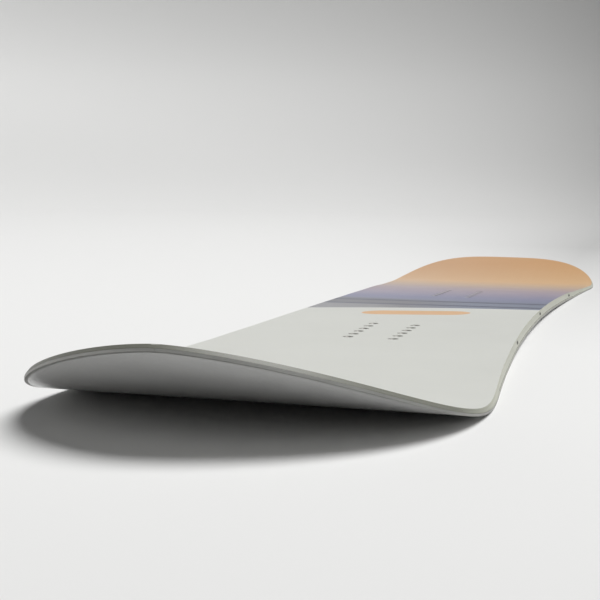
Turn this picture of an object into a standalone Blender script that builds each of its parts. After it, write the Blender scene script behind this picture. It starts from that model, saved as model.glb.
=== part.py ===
"""Snowboard, built as the pressed sandwich that it is.

The board lies along X with its nose at -X, its tail at +X and its running base on Z = 0.
Every layer is lofted from rails. A rail is a line from nose to tail at a set distance in from the
outline and at a set height above the running base, so the layers stay parallel when a size changes.
"""

import math

import bmesh
import bpy
import numpy as np
from mathutils import Matrix, Vector

# Plan shape: a circular sidecut with a rounded taper at each end
LENGTH = 1.470
WAIST_WIDTH = 0.238
WAIST_X = 0.015
SIDECUT_RADIUS = 5.90
NOSE_TAPER = 0.289
NOSE_TAPER_POWER = 2.90
NOSE_ROUND_POWER = 1.59
TAIL_TAPER = 0.189
TAIL_TAPER_POWER = 1.63
TAIL_ROUND_POWER = 3.35
TIP_FACE = 0.006

# Side profile: kicked ends, two flat contact zones and a cambered middle
NOSE_KICK_LENGTH = 0.245
NOSE_KICK_HEIGHT = 0.057
NOSE_KICK_POWER = 2.10
TAIL_KICK_LENGTH = 0.191
TAIL_KICK_HEIGHT = 0.0282
TAIL_KICK_POWER = 1.95
NOSE_CONTACT_FROM_TIP = 0.425
TAIL_CONTACT_FROM_TIP = 0.357
CAMBER_HEIGHT = 0.0040

# Thickness of the whole sandwich
MIDDLE_THICKNESS = 0.0092
TIP_THICKNESS = 0.0045
THIN_FROM_TIP = 0.175
FULL_FROM_TIP = 0.435

# Layers, and the glue line left between neighbours
GLUE = 0.0003
BASE_THICKNESS = 0.0010
LAMINATE_THICKNESS = 0.0004
TOPSHEET_THICKNESS = 0.0004
DAMPING_THICKNESS = 0.0002
BEVEL_INSET = 0.0019

# Steel edge: a square rail with a toothed flange that reaches in over the base
EDGE_HEIGHT = 0.00165
EDGE_WIDTH = 0.0020
FLANGE_THICKNESS = 0.00035
WEB_REACH = 0.0034
TOOTH_REACH = 0.0070
TOOTH_SPACING = 0.032
TOOTH_FLARE = 0.0015

# Sidewalls, tip pieces and core
SIDEWALL_WIDTH = 0.0110
JOGGLE_RUN = 0.0020
NOSE_JOINT_FROM_TIP = 0.135
TAIL_JOINT_FROM_TIP = 0.115
NOSE_CORE_FROM_TIP = 0.080
TAIL_CORE_FROM_TIP = 0.070
DAMPING_FROM_TIP = 0.285
DAMPING_RAMP = 0.020
CORE_STRIPS = 9
CENTRE_STRIP_WIDTH = 0.015
CORE_STRIP_WIDTH = 0.025

# Binding inserts
STANCE_WIDTH = 0.430
STANCE_X = 0.015
INSERT_ROWS = 6
INSERT_PITCH = 0.020
INSERT_SPREAD = 0.040
INSERT_BARREL_RADIUS = 0.0045
INSERT_BORE_RADIUS = 0.0026
INSERT_FLANGE_RADIUS = 0.0080
INSERT_FLANGE_THICKNESS = 0.0008
INSERT_FLOOR = 0.0012
INSERT_RECESS = 0.0002
INSERT_SIDES = 12
PLATFORM_MARGIN = 0.012

# Long, round-ended plugs set into the sidewalls, at shares of the board's length from its middle
PLUG_LENGTH = 0.0120
PLUG_RADIUS = 0.0013
PLUG_DEPTH = 0.0018
PLUG_CHAMFER = 0.0004
PLUG_SIDES = 12
PLUG_SHARES = (-0.143, 0.027, 0.228)

# Spacing of the facets
OUTLINE_POINTS = 6001
TIP_POINTS = 500
TIP_STEP = 0.018
TIP_TURN = math.radians(12.0)
SIDE_STEP = 0.065
CORE_ARC_SIDES = 96
CORE_END_STEPS = 3
MERGE = 1e-6
CUTTER_OVERRUN = 0.002
SMOOTH_ANGLE = math.radians(30.0)

# Colours are linear RGB, then roughness and metallic
FINISHES = {
    "topsheet": ((0.62, 0.62, 0.58), 0.38, 0.0),
    "laminate": ((0.55, 0.58, 0.42), 0.45, 0.0),
    "light_wood": ((0.63, 0.44, 0.25), 0.70, 0.0),
    "dark_wood": ((0.45, 0.27, 0.13), 0.70, 0.0),
    "sidewall": ((0.47, 0.48, 0.41), 0.50, 0.0),
    "tip_plastic": ((0.42, 0.43, 0.36), 0.50, 0.0),
    "rubber": ((0.02, 0.02, 0.02), 0.85, 0.0),
    "steel": ((0.50, 0.50, 0.50), 0.35, 1.0),
    "insert_steel": ((0.56, 0.55, 0.53), 0.30, 1.0),
    "base_plastic": ((0.25, 0.26, 0.29), 0.40, 0.0),
    "plug": ((0.05, 0.05, 0.045), 0.60, 0.0),
}

# Places along the board that follow from the sizes above
NOSE_X = -LENGTH / 2
TAIL_X = LENGTH / 2
NOSE_KICK_X = NOSE_X + NOSE_KICK_LENGTH
TAIL_KICK_X = TAIL_X - TAIL_KICK_LENGTH
NOSE_CONTACT_X = NOSE_X + NOSE_CONTACT_FROM_TIP
TAIL_CONTACT_X = TAIL_X - TAIL_CONTACT_FROM_TIP
NOSE_JOINT_X = NOSE_X + NOSE_JOINT_FROM_TIP
TAIL_JOINT_X = TAIL_X - TAIL_JOINT_FROM_TIP
NOSE_CORE_X = NOSE_X + NOSE_CORE_FROM_TIP
TAIL_CORE_X = TAIL_X - TAIL_CORE_FROM_TIP
DAMPING_START_X = NOSE_X + DAMPING_FROM_TIP
DAMPING_END_X = TAIL_X - DAMPING_FROM_TIP
PACK_HALF_LENGTH = (INSERT_ROWS - 1) * INSERT_PITCH / 2
PLATFORM_HALF_LENGTH = PACK_HALF_LENGTH + PLATFORM_MARGIN
FRONT_PACK_X = STANCE_X - STANCE_WIDTH / 2
REAR_PACK_X = STANCE_X + STANCE_WIDTH / 2
PLATFORMS = tuple(
    (centre - PLATFORM_HALF_LENGTH, centre + PLATFORM_HALF_LENGTH)
    for centre in (FRONT_PACK_X, REAR_PACK_X)
)

# Heights above the running base, from the bottom of the sandwich up
FLANGE_BOTTOM = EDGE_HEIGHT - FLANGE_THICKNESS
LOW_LAMINATE_BOTTOM = BASE_THICKNESS + GLUE
LOW_LAMINATE_TOP = LOW_LAMINATE_BOTTOM + LAMINATE_THICKNESS
RAISED_LAMINATE_BOTTOM = EDGE_HEIGHT + GLUE
RAISED_LAMINATE_TOP = RAISED_LAMINATE_BOTTOM + LAMINATE_THICKNESS
CORE_BOTTOM = LOW_LAMINATE_TOP + GLUE
RIM_BOTTOM = RAISED_LAMINATE_TOP + GLUE
DAMPING_TOP = RIM_BOTTOM + DAMPING_THICKNESS

# Depths below the deck, from the top of the sandwich down
UPPER_LAMINATE_DEPTH = TOPSHEET_THICKNESS + GLUE
UPPER_LAMINATE_FLOOR = UPPER_LAMINATE_DEPTH + LAMINATE_THICKNESS
CORE_DEPTH = UPPER_LAMINATE_FLOOR + GLUE

# Distances in from the outline
BASE_INSET = EDGE_WIDTH + GLUE
JOGGLE_START = TOOTH_REACH + GLUE
JOGGLE_END = JOGGLE_START + JOGGLE_RUN
CORE_INSET = SIDEWALL_WIDTH + GLUE


def half_width(x):
    """Half the board's width at x."""
    sidecut = SIDECUT_RADIUS - np.sqrt(SIDECUT_RADIUS**2 - (x - WAIST_X) ** 2)
    nose_run = np.clip((NOSE_X + NOSE_TAPER - x) / NOSE_TAPER, 0.0, 1.0)
    tail_run = np.clip((x - TAIL_X + TAIL_TAPER) / TAIL_TAPER, 0.0, 1.0)
    nose = (1.0 - nose_run**NOSE_TAPER_POWER) ** (1.0 / NOSE_ROUND_POWER)
    tail = (1.0 - tail_run**TAIL_TAPER_POWER) ** (1.0 / TAIL_ROUND_POWER)
    return (WAIST_WIDTH / 2 + sidecut) * nose * tail


def running_curve(x):
    """Height of the running base: kicks outside the contacts and camber between them."""
    nose = np.clip((NOSE_KICK_X - x) / NOSE_KICK_LENGTH, 0.0, None)
    tail = np.clip((x - TAIL_KICK_X) / TAIL_KICK_LENGTH, 0.0, None)
    middle = (NOSE_CONTACT_X + TAIL_CONTACT_X) / 2
    reach = (TAIL_CONTACT_X - NOSE_CONTACT_X) / 2
    camber = CAMBER_HEIGHT * np.clip(1.0 - ((x - middle) / reach) ** 2, 0.0, None)
    kicks = NOSE_KICK_HEIGHT * nose**NOSE_KICK_POWER + TAIL_KICK_HEIGHT * tail**TAIL_KICK_POWER
    return camber + kicks


def base_height(x):
    """Height of the running base, straight along each binding platform."""
    x = np.asarray(x, dtype=float)
    height = running_curve(x)
    for start, end in PLATFORMS:
        first, last = running_curve(np.array([start, end]))
        share = (x - start) / (end - start)
        inside = (share > 0.0) & (share < 1.0)
        height = np.where(inside, first + (last - first) * share, height)
    return height


def thickness(x):
    """Thickness of the sandwich: full in the middle, thin at the tips, an S-curve between."""
    from_tip = LENGTH / 2 - np.abs(np.asarray(x, dtype=float))
    share = np.clip((from_tip - THIN_FROM_TIP) / (FULL_FROM_TIP - THIN_FROM_TIP), 0.0, 1.0)
    return TIP_THICKNESS + (MIDDLE_THICKNESS - TIP_THICKNESS) * share**2 * (3.0 - 2.0 * share)


def below_deck(depth):
    """A height that stays the same distance under the top of the board."""
    return lambda x: thickness(x) - depth


def at(size, x):
    """The value of a size at x, whether it is a number or changes along the board."""
    return size(x) if callable(size) else np.full_like(x, size)


def bevel(level):
    """Distance in from the outline of the sloping side of the board, at a height."""
    return lambda x: BEVEL_INSET * (at(level, x) - EDGE_HEIGHT) / (thickness(x) - EDGE_HEIGHT)


def damping_lift(x):
    """Extra height under the sidewall where the damping strip runs, ramping out at its ends."""
    places = [
        DAMPING_START_X - DAMPING_RAMP,
        DAMPING_START_X - GLUE,
        DAMPING_END_X + GLUE,
        DAMPING_END_X + DAMPING_RAMP,
    ]
    full = DAMPING_THICKNESS + GLUE
    return np.interp(x, places, [0.0, full, full, 0.0])


def trace_outline():
    """The left-hand outline, nose tip to tail tip, with its outward direction."""
    sweep = np.linspace(0.0, math.pi, OUTLINE_POINTS)
    x = -LENGTH / 2 * np.cos(sweep)
    y = half_width(x)
    along_x = np.gradient(x)
    along_y = np.gradient(y)
    length = np.hypot(along_x, along_y)
    return x, y, -along_y / length, along_x / length, length


OUTLINE_X, OUTLINE_Y, OUT_X, OUT_Y, OUTLINE_STEP = trace_outline()
OUTLINE_INDEX = np.arange(OUTLINE_POINTS)


def tip_stations(first, last):
    """Places on the outline between two indices, closer together where it turns faster."""
    turn = np.abs(np.diff(np.unwrap(np.arctan2(OUT_Y, OUT_X)), prepend=math.pi))
    measure = np.cumsum(OUTLINE_STEP / TIP_STEP + turn / TIP_TURN)
    ends = np.interp([first, last], OUTLINE_INDEX, measure)
    count = math.ceil(ends[1] - ends[0])
    return np.interp(np.linspace(ends[0], ends[1], count + 1), measure, OUTLINE_INDEX)


def spread(places, step):
    """The places in order, with even steps no longer than step put between them."""
    ordered = sorted(set(places))
    stations = []
    for start, end in zip(ordered, ordered[1:]):
        count = math.ceil((end - start) / step - MERGE)
        stations.extend(start + (end - start) * i / count for i in range(count))
    return stations + [ordered[-1]]


def plan_stations():
    """Outline indices round the nose, places along the sides, indices round the tail."""
    nose_tip, tail_tip = slice(0, TIP_POINTS), slice(-TIP_POINTS, None)
    nose_start = np.interp(TIP_FACE / 2, OUTLINE_Y[nose_tip], OUTLINE_INDEX[nose_tip])
    tail_end = np.interp(-TIP_FACE / 2, -OUTLINE_Y[tail_tip], OUTLINE_INDEX[tail_tip])
    nose_end = np.interp(NOSE_JOINT_X - TIP_STEP, OUTLINE_X, OUTLINE_INDEX)
    tail_start = np.interp(TAIL_JOINT_X + TIP_STEP, OUTLINE_X, OUTLINE_INDEX)
    nose_kick = spread([NOSE_JOINT_X, NOSE_KICK_X], TIP_STEP)
    tail_kick = spread([TAIL_KICK_X, TAIL_JOINT_X], TIP_STEP)
    breaks = [NOSE_KICK_X, NOSE_CONTACT_X, TAIL_CONTACT_X, TAIL_KICK_X]
    breaks += [DAMPING_START_X - DAMPING_RAMP, DAMPING_START_X - GLUE]
    breaks += [DAMPING_END_X + GLUE, DAMPING_END_X + DAMPING_RAMP]
    breaks += [place for platform in PLATFORMS for place in platform]
    middle = spread(breaks, SIDE_STEP)
    sides = np.array(sorted(set(nose_kick + middle + tail_kick)))
    return tip_stations(nose_start, nose_end), sides, tip_stations(tail_start, tail_end)


NOSE_STATIONS, SIDE_STATIONS, TAIL_STATIONS = plan_stations()
NO_STATIONS = np.array([])
WHOLE_BOARD = (NOSE_STATIONS, SIDE_STATIONS, TAIL_STATIONS)
SPACER_NOSE_SIDES = np.array([NOSE_JOINT_X - GLUE / 2])
SPACER_TAIL_SIDES = np.array([TAIL_JOINT_X + GLUE / 2])


def between(start, end):
    """The side stations from start to end, with start and end themselves."""
    inside = SIDE_STATIONS[(SIDE_STATIONS > start + GLUE) & (SIDE_STATIONS < end - GLUE)]
    return np.concatenate([[start], inside, [end]])


def inset_outline(inset):
    """The whole left-hand outline moved inwards."""
    distance = at(inset, OUTLINE_X)
    return OUTLINE_X - distance * OUT_X, OUTLINE_Y - distance * OUT_Y


def rail(stations, inset, level):
    """Points of one rail along the left-hand side, as rows of x, y, z."""
    nose, sides, tail = stations
    line_x, line_y = inset_outline(inset)
    first, last = int(NOSE_STATIONS[0]), int(TAIL_STATIONS[-1])
    x = np.concatenate([
        np.interp(nose, OUTLINE_INDEX, line_x),
        sides,
        np.interp(tail, OUTLINE_INDEX, line_x),
    ])
    y = np.concatenate([
        np.interp(nose, OUTLINE_INDEX, line_y),
        np.interp(sides, line_x[first:last], line_y[first:last]),
        np.interp(tail, OUTLINE_INDEX, line_y),
    ])
    return np.column_stack([x, y, base_height(x) + at(level, x)])


def as_built(points):
    """The points on the left-hand side, where rails are laid out."""
    return points


def mirrored(points):
    """The same points on the right-hand side."""
    return points * np.array([1.0, -1.0, 1.0])


def add_rail(mesh, points):
    """Puts a rail's points into the mesh."""
    return [mesh.verts.new(point) for point in points]


def join_rails(mesh, first, second):
    """A strip of faces between two rails."""
    for i in range(len(first) - 1):
        mesh.faces.new([first[i], first[i + 1], second[i + 1], second[i]])


def make_material(name, finish):
    """A plain surface with the piece's colour, roughness and metallic value."""
    colour, roughness, metallic = FINISHES[finish]
    material = bpy.data.materials.new(name)
    material.use_nodes = True
    shader = material.node_tree.nodes["Principled BSDF"]
    shader.inputs["Base Color"].default_value = (*colour, 1.0)
    shader.inputs["Roughness"].default_value = roughness
    shader.inputs["Metallic"].default_value = metallic
    material.diffuse_color = (*colour, 1.0)
    return material


def finish_object(name, mesh, finish=None):
    """Turns a bmesh into a named object, faces outward and shaded smooth across small angles."""
    bmesh.ops.recalc_face_normals(mesh, faces=mesh.faces)
    data = bpy.data.meshes.new(name)
    mesh.to_mesh(data)
    mesh.free()
    data.shade_smooth()
    data.set_sharp_from_angle(angle=SMOOTH_ANGLE)
    piece = bpy.data.objects.new(name, data)
    bpy.context.scene.collection.objects.link(piece)
    if finish:
        data.materials.append(make_material(name, finish))
    return piece


def copy_object(name, original):
    """Another object with the same mesh."""
    piece = original.copy()
    piece.name = name
    bpy.context.scene.collection.objects.link(piece)
    return piece


def finish_cutter(name, mesh):
    """Turns a bmesh into a cutter, which is never rendered."""
    cutter = finish_object(name, mesh)
    cutter.hide_render = True
    cutter.display_type = "WIRE"
    return cutter


def cut(piece, cutter):
    """Takes a cutter away from a piece."""
    modifier = piece.modifiers.new("cut_" + cutter.name, "BOOLEAN")
    modifier.operation = "DIFFERENCE"
    modifier.solver = "EXACT"
    modifier.object = cutter


def make_panel(name, finish, stations, profile):
    """A full-width piece.

    The profile lists (inset, level) from the inner top, round the side, to the inner bottom.
    """
    mesh = bmesh.new()
    left = [add_rail(mesh, rail(stations, *place)) for place in profile]
    right = [add_rail(mesh, mirrored(rail(stations, *place))) for place in profile]
    for upper, lower in zip(range(len(profile) - 1), range(1, len(profile))):
        join_rails(mesh, left[upper], left[lower])
        join_rails(mesh, right[lower], right[upper])
    join_rails(mesh, right[0], left[0])
    join_rails(mesh, left[-1], right[-1])
    for end, round_tip in ((0, len(stations[0]) > 0), (-1, len(stations[2]) > 0)):
        if round_tip:
            for k in range(len(profile) - 1):
                mesh.faces.new([left[k][end], left[k + 1][end], right[k + 1][end], right[k][end]])
        else:
            loop = [line[end] for line in left] + [line[end] for line in reversed(right)]
            mesh.faces.new(loop)
    return finish_object(name, mesh, finish)


def make_beam(name, finish, rails):
    """A piece that runs along one side: rails in order round its section, closed at both ends."""
    mesh = bmesh.new()
    lines = [add_rail(mesh, points) for points in rails]
    for first, second in zip(lines, lines[1:] + lines[:1]):
        join_rails(mesh, first, second)
    mesh.faces.new([line[0] for line in lines])
    mesh.faces.new([line[-1] for line in lines])
    return finish_object(name, mesh, finish)


def turned(mesh, profile, sides, placement):
    """A round body spun about its own Z from (radius, height) points, then placed."""
    before = set(mesh.verts)
    points = [mesh.verts.new((radius, 0.0, height)) for radius, height in profile]
    edges = [mesh.edges.new(pair) for pair in zip(points, points[1:])]
    bmesh.ops.spin(
        mesh,
        geom=points + edges,
        cent=(0.0, 0.0, 0.0),
        axis=(0.0, 0.0, 1.0),
        angle=math.tau,
        steps=sides,
        use_merge=True,
    )
    made = [vert for vert in mesh.verts if vert not in before]
    bmesh.ops.remove_doubles(mesh, verts=made, dist=MERGE)
    made = [vert for vert in mesh.verts if vert not in before]
    bmesh.ops.transform(mesh, matrix=placement, verts=made)


def make_topsheet():
    """The printed skin, whose side follows the board's bevel."""
    bottom = below_deck(TOPSHEET_THICKNESS)
    top = below_deck(0.0)
    profile = [(bevel(top), top), (bevel(bottom), bottom)]
    return make_panel("topsheet", "topsheet", WHOLE_BOARD, profile)


def make_upper_laminate():
    """The glass layer over the core and the sidewalls."""
    top = below_deck(UPPER_LAMINATE_DEPTH)
    bottom = below_deck(UPPER_LAMINATE_FLOOR)
    profile = [(bevel(top), top), (bevel(bottom), bottom)]
    return make_panel("upper_laminate", "laminate", WHOLE_BOARD, profile)


def make_lower_laminate():
    """The glass layer on the base, stepped up over the edges' toothed flange."""
    profile = [
        (JOGGLE_END, LOW_LAMINATE_TOP),
        (JOGGLE_START, RAISED_LAMINATE_TOP),
        (bevel(RAISED_LAMINATE_TOP), RAISED_LAMINATE_TOP),
        (bevel(RAISED_LAMINATE_BOTTOM), RAISED_LAMINATE_BOTTOM),
        (JOGGLE_START, RAISED_LAMINATE_BOTTOM),
        (JOGGLE_END, LOW_LAMINATE_BOTTOM),
    ]
    return make_panel("lower_laminate", "laminate", WHOLE_BOARD, profile)


def make_base_sheet():
    """The running base, which fills the plan inside the steel edges."""
    profile = [(BASE_INSET, BASE_THICKNESS), (BASE_INSET, 0.0)]
    return make_panel("base_sheet", "base_plastic", WHOLE_BOARD, profile)


def edge_stations():
    """The board's stations, with the long side steps split into tooth and gap lengths."""
    sides = np.array(spread(list(SIDE_STATIONS), TOOTH_SPACING / 2))
    return NOSE_STATIONS, sides, TAIL_STATIONS


def to_centre(points):
    """A rail carried on across the tip faces until it nearly meets its mirror image."""
    ends = points[[0, -1]].copy()
    ends[:, 1] = GLUE / 2
    return np.vstack([ends[:1], points, ends[1:]])


def make_steel_edge(name, side):
    """One steel edge: rail and web in one sweep, with dovetail teeth on every second step."""
    stations = edge_stations()
    section = [
        (0.0, 0.0),
        (0.0, EDGE_HEIGHT),
        (WEB_REACH, EDGE_HEIGHT),
        (WEB_REACH, FLANGE_BOTTOM),
        (EDGE_WIDTH, FLANGE_BOTTOM),
        (EDGE_WIDTH, 0.0),
    ]
    mesh = bmesh.new()
    rails = [side(to_centre(rail(stations, *place))) for place in section]
    lines = [add_rail(mesh, points) for points in rails]
    web_top, web_bottom = 2, 3
    heads = [
        side(to_centre(rail(stations, TOOTH_REACH, level)))
        for level in (EDGE_HEIGHT, FLANGE_BOTTOM)
    ]
    count = len(rails[0])
    for k, first in enumerate(lines):
        second = lines[(k + 1) % len(lines)]
        for i in range(count - 1):
            if k == web_top and i % 2 == 1:
                add_tooth(mesh, lines[web_top], lines[web_bottom], heads, i)
            else:
                mesh.faces.new([first[i], first[i + 1], second[i + 1], second[i]])
    mesh.faces.new([line[0] for line in lines])
    mesh.faces.new([line[-1] for line in lines])
    return finish_object(name, mesh, "steel")


def add_tooth(mesh, web_top, web_bottom, heads, i):
    """One anchor tooth, wider at its head, on the web between stations i and i + 1."""
    corners = []
    for points in heads:
        near, far = points[i], points[i + 1]
        direction = (far - near) / np.linalg.norm(far - near)
        corners.append(mesh.verts.new(near - direction * TOOTH_FLARE))
        corners.append(mesh.verts.new(far + direction * TOOTH_FLARE))
    top_near, top_far, low_near, low_far = corners
    mesh.faces.new([web_top[i], web_top[i + 1], top_far, top_near])
    mesh.faces.new([web_bottom[i], web_bottom[i + 1], low_far, low_near])
    mesh.faces.new([top_near, top_far, low_far, low_near])
    mesh.faces.new([web_top[i], top_near, low_near, web_bottom[i]])
    mesh.faces.new([web_top[i + 1], top_far, low_far, web_bottom[i + 1]])


def make_damping_strip(name, side):
    """The rubber foil between the lower laminate and the sidewall, over the edge's teeth."""
    stations = (NO_STATIONS, between(DAMPING_START_X, DAMPING_END_X), NO_STATIONS)
    section = [
        (bevel(RIM_BOTTOM), RIM_BOTTOM),
        (bevel(DAMPING_TOP), DAMPING_TOP),
        (TOOTH_REACH, DAMPING_TOP),
        (TOOTH_REACH, RIM_BOTTOM),
    ]
    return make_beam(name, "rubber", [side(rail(stations, *place)) for place in section])


def rim_bottom(x):
    """Underside of the sidewall over the raised laminate."""
    return RIM_BOTTOM + damping_lift(x)


def make_sidewall(name, side):
    """A bevelled sidewall whose underside is rebated over the stepped laminate."""
    start, end = NOSE_JOINT_X + GLUE / 2, TAIL_JOINT_X - GLUE / 2
    stations = (NO_STATIONS, between(start, end), NO_STATIONS)
    top = below_deck(CORE_DEPTH)
    section = [
        (bevel(rim_bottom), rim_bottom),
        (bevel(top), top),
        (SIDEWALL_WIDTH, top),
        (SIDEWALL_WIDTH, CORE_BOTTOM),
        (JOGGLE_END + GLUE, CORE_BOTTOM),
        (JOGGLE_START, rim_bottom),
    ]
    return make_beam(name, "sidewall", [side(rail(stations, *place)) for place in section])


def core_half_width(x):
    """Half the core's width between the sidewalls."""
    line_x, line_y = inset_outline(CORE_INSET)
    first, last = int(NOSE_STATIONS[0]), int(TAIL_STATIONS[-1])
    return np.interp(x, line_x[first:last], line_y[first:last])


def core_arc(joint_x, end_x):
    """Radius and centre of the arc that rounds an end of the core between the two sidewalls."""
    half_chord = float(core_half_width(joint_x))
    rise = abs(end_x - joint_x)
    radius = (half_chord**2 + rise**2) / (2.0 * rise)
    centre = end_x + math.copysign(radius, joint_x - end_x)
    return radius, centre


def make_tip_spacer(name, stations, joint_x, end_x):
    """A tip piece: the full rim with the round end of the core cut out of it."""
    top = below_deck(CORE_DEPTH)
    profile = [
        (bevel(top), top),
        (bevel(RIM_BOTTOM), RIM_BOTTOM),
        (JOGGLE_START, RIM_BOTTOM),
        (JOGGLE_END + GLUE, CORE_BOTTOM),
    ]
    spacer = make_panel(name, "tip_plastic", stations, profile)
    radius, centre = core_arc(joint_x, end_x)
    height = NOSE_KICK_HEIGHT + MIDDLE_THICKNESS
    outline = [(0.0, -height), (radius + GLUE, -height), (radius + GLUE, height), (0.0, height)]
    mesh = bmesh.new()
    turned(mesh, outline, CORE_ARC_SIDES, Matrix.Translation((centre, 0.0, 0.0)))
    cut(spacer, finish_cutter(name + "_cutter", mesh))
    return spacer


def core_boundaries():
    """Places across one half of the board where a core strip stops and the next one starts."""
    pairs = (CORE_STRIPS - 1) // 2
    return [CENTRE_STRIP_WIDTH / 2 + CORE_STRIP_WIDTH * k for k in range(pairs)]


def core_end(y, joint_x, end_x):
    """Where a line at y meets the round end of the core."""
    radius, centre = core_arc(joint_x, end_x)
    return centre + math.copysign(math.sqrt(radius**2 - y**2), end_x - centre)


def core_places(y):
    """Stations of a strip's side that runs at y, from one round end of the core to the other."""
    start = core_end(y, NOSE_JOINT_X, NOSE_CORE_X)
    end = core_end(y, TAIL_JOINT_X, TAIL_CORE_X)
    nose = np.linspace(start, NOSE_JOINT_X, CORE_END_STEPS + 1)[:-1]
    tail = np.linspace(TAIL_JOINT_X, end, CORE_END_STEPS + 1)[1:]
    return np.concatenate([nose, between(NOSE_JOINT_X, TAIL_JOINT_X), tail])


def core_side(x):
    """Half the core's width: beside the sidewalls, and round its ends past them."""
    nose_radius, nose_centre = core_arc(NOSE_JOINT_X, NOSE_CORE_X)
    tail_radius, tail_centre = core_arc(TAIL_JOINT_X, TAIL_CORE_X)
    nose = np.sqrt(np.clip(nose_radius**2 - (x - nose_centre) ** 2, 0.0, None))
    tail = np.sqrt(np.clip(tail_radius**2 - (x - tail_centre) ** 2, 0.0, None))
    width = np.where(x < NOSE_JOINT_X, nose, core_half_width(x))
    return np.where(x > TAIL_JOINT_X, tail, width)


def make_core_strip(name, finish, inner_y, outer_y, side):
    """One wood strip. An outer_y of None follows the sidewall and the round ends."""
    inner_x = core_places(inner_y)
    outer_x = inner_x if outer_y is None else core_places(outer_y)
    outer = core_side(outer_x) if outer_y is None else np.full_like(outer_x, outer_y)
    top = below_deck(CORE_DEPTH)
    mesh = bmesh.new()
    lines = []
    for x, y, level in (
        (inner_x, np.full_like(inner_x, inner_y), CORE_BOTTOM),
        (outer_x, outer, CORE_BOTTOM),
        (outer_x, outer, top),
        (inner_x, np.full_like(inner_x, inner_y), top),
    ):
        points = np.column_stack([x, y, base_height(x) + at(level, x)])
        lines.append(add_rail(mesh, side(points)))
    for first, second in zip(lines, lines[1:] + lines[:1]):
        join_rails(mesh, first, second)
    mesh.faces.new([line[0] for line in lines])
    mesh.faces.new([line[-1] for line in lines])
    bmesh.ops.remove_doubles(mesh, verts=mesh.verts, dist=MERGE)
    return finish_object(name, mesh, finish)


def make_core(insert_cutter):
    """The wood core: a middle strip, then pairs of strips out to the sidewalls."""
    half = GLUE / 2
    bounds = core_boundaries()
    middle = (CORE_STRIPS + 1) // 2
    strips = [(middle, half - bounds[0], bounds[0] - half, as_built)]
    outer_bounds = [place - half for place in bounds[1:]] + [None]
    for k, (inner, outer) in enumerate(zip(bounds, outer_bounds), start=1):
        strips.append((middle - k, inner + half, outer, mirrored))
        strips.append((middle + k, inner + half, outer, as_built))
    row = INSERT_SPREAD / 2
    reach = INSERT_FLANGE_RADIUS + GLUE
    for number, inner, outer, side in strips:
        finish = "dark_wood" if number % 2 else "light_wood"
        strip = make_core_strip("core_strip_%d" % number, finish, inner, outer, side)
        if inner < row + reach and (outer is None or outer > row - reach):
            cut(strip, insert_cutter)


def insert_frames(centre_x):
    """Placements of a pack's inserts: on the running base, tilted with their platform."""
    ends = np.array([centre_x - PLATFORM_HALF_LENGTH, centre_x + PLATFORM_HALF_LENGTH])
    heights = running_curve(ends)
    slope = math.atan2(heights[1] - heights[0], ends[1] - ends[0])
    platform = Matrix.Translation((centre_x, 0.0, float(heights.mean())))
    platform = platform @ Matrix.Rotation(-slope, 4, "Y")
    frames = []
    for y in (-INSERT_SPREAD / 2, INSERT_SPREAD / 2):
        for row in range(INSERT_ROWS):
            x = INSERT_PITCH * row - PACK_HALF_LENGTH
            frames.append(platform @ Matrix.Translation((x, y, 0.0)))
    return frames


def make_inserts(name, centre_x):
    """A pack of threaded inserts, each a flange under the core and a blind barrel through it."""
    top = float(thickness(centre_x)) - INSERT_RECESS
    flange_top = CORE_BOTTOM + INSERT_FLANGE_THICKNESS
    profile = [
        (0.0, CORE_BOTTOM),
        (INSERT_FLANGE_RADIUS, CORE_BOTTOM),
        (INSERT_FLANGE_RADIUS, flange_top),
        (INSERT_BARREL_RADIUS, flange_top),
        (INSERT_BARREL_RADIUS, top),
        (INSERT_BORE_RADIUS, top),
        (INSERT_BORE_RADIUS, CORE_BOTTOM + INSERT_FLOOR),
        (0.0, CORE_BOTTOM + INSERT_FLOOR),
    ]
    mesh = bmesh.new()
    turned(mesh, profile, INSERT_SIDES, Matrix())
    first = finish_object(name + "_1", mesh, "insert_steel")
    for number, frame in enumerate(insert_frames(centre_x), start=1):
        insert = first if number == 1 else copy_object("%s_%d" % (name, number), first)
        insert.matrix_world = frame


def make_insert_cutter():
    """The stepped holes that seat both insert packs."""
    flange_top = CORE_BOTTOM + INSERT_FLANGE_THICKNESS + GLUE
    flange = INSERT_FLANGE_RADIUS + GLUE
    barrel = INSERT_BARREL_RADIUS + GLUE
    mesh = bmesh.new()
    for centre_x in (FRONT_PACK_X, REAR_PACK_X):
        bottom = CORE_BOTTOM - CUTTER_OVERRUN
        top = float(thickness(centre_x)) + CUTTER_OVERRUN
        profile = [
            (0.0, bottom),
            (flange, bottom),
            (flange, flange_top),
            (barrel, flange_top),
            (barrel, top),
            (0.0, top),
        ]
        for frame in insert_frames(centre_x):
            turned(mesh, profile, INSERT_SIDES, frame)
    return finish_cutter("insert_cutter", mesh)


def plug_frame(x, side):
    """Placement of a plug: its axis square to the bevelled side, its middle halfway up, X along it."""
    sandwich = float(thickness(x))
    slope = BEVEL_INSET / (sandwich - EDGE_HEIGHT)
    level = (float(rim_bottom(x)) + sandwich - CORE_DEPTH + PLUG_DEPTH * slope) / 2
    depth = (level - EDGE_HEIGHT) * slope
    out = Vector((np.interp(x, OUTLINE_X, OUT_X), np.interp(x, OUTLINE_X, OUT_Y), 0.0))
    height = float(base_height(x)) + level
    mouth = Vector((x, float(half_width(x)), height)) - out * depth
    axis = (out + Vector((0.0, 0.0, slope))).normalized()
    mouth, axis = (Vector(side(np.array(item))) for item in (mouth, axis))
    return Matrix.Translation(mouth) @ axis.to_track_quat("Z", "Y").to_matrix().to_4x4()


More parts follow.
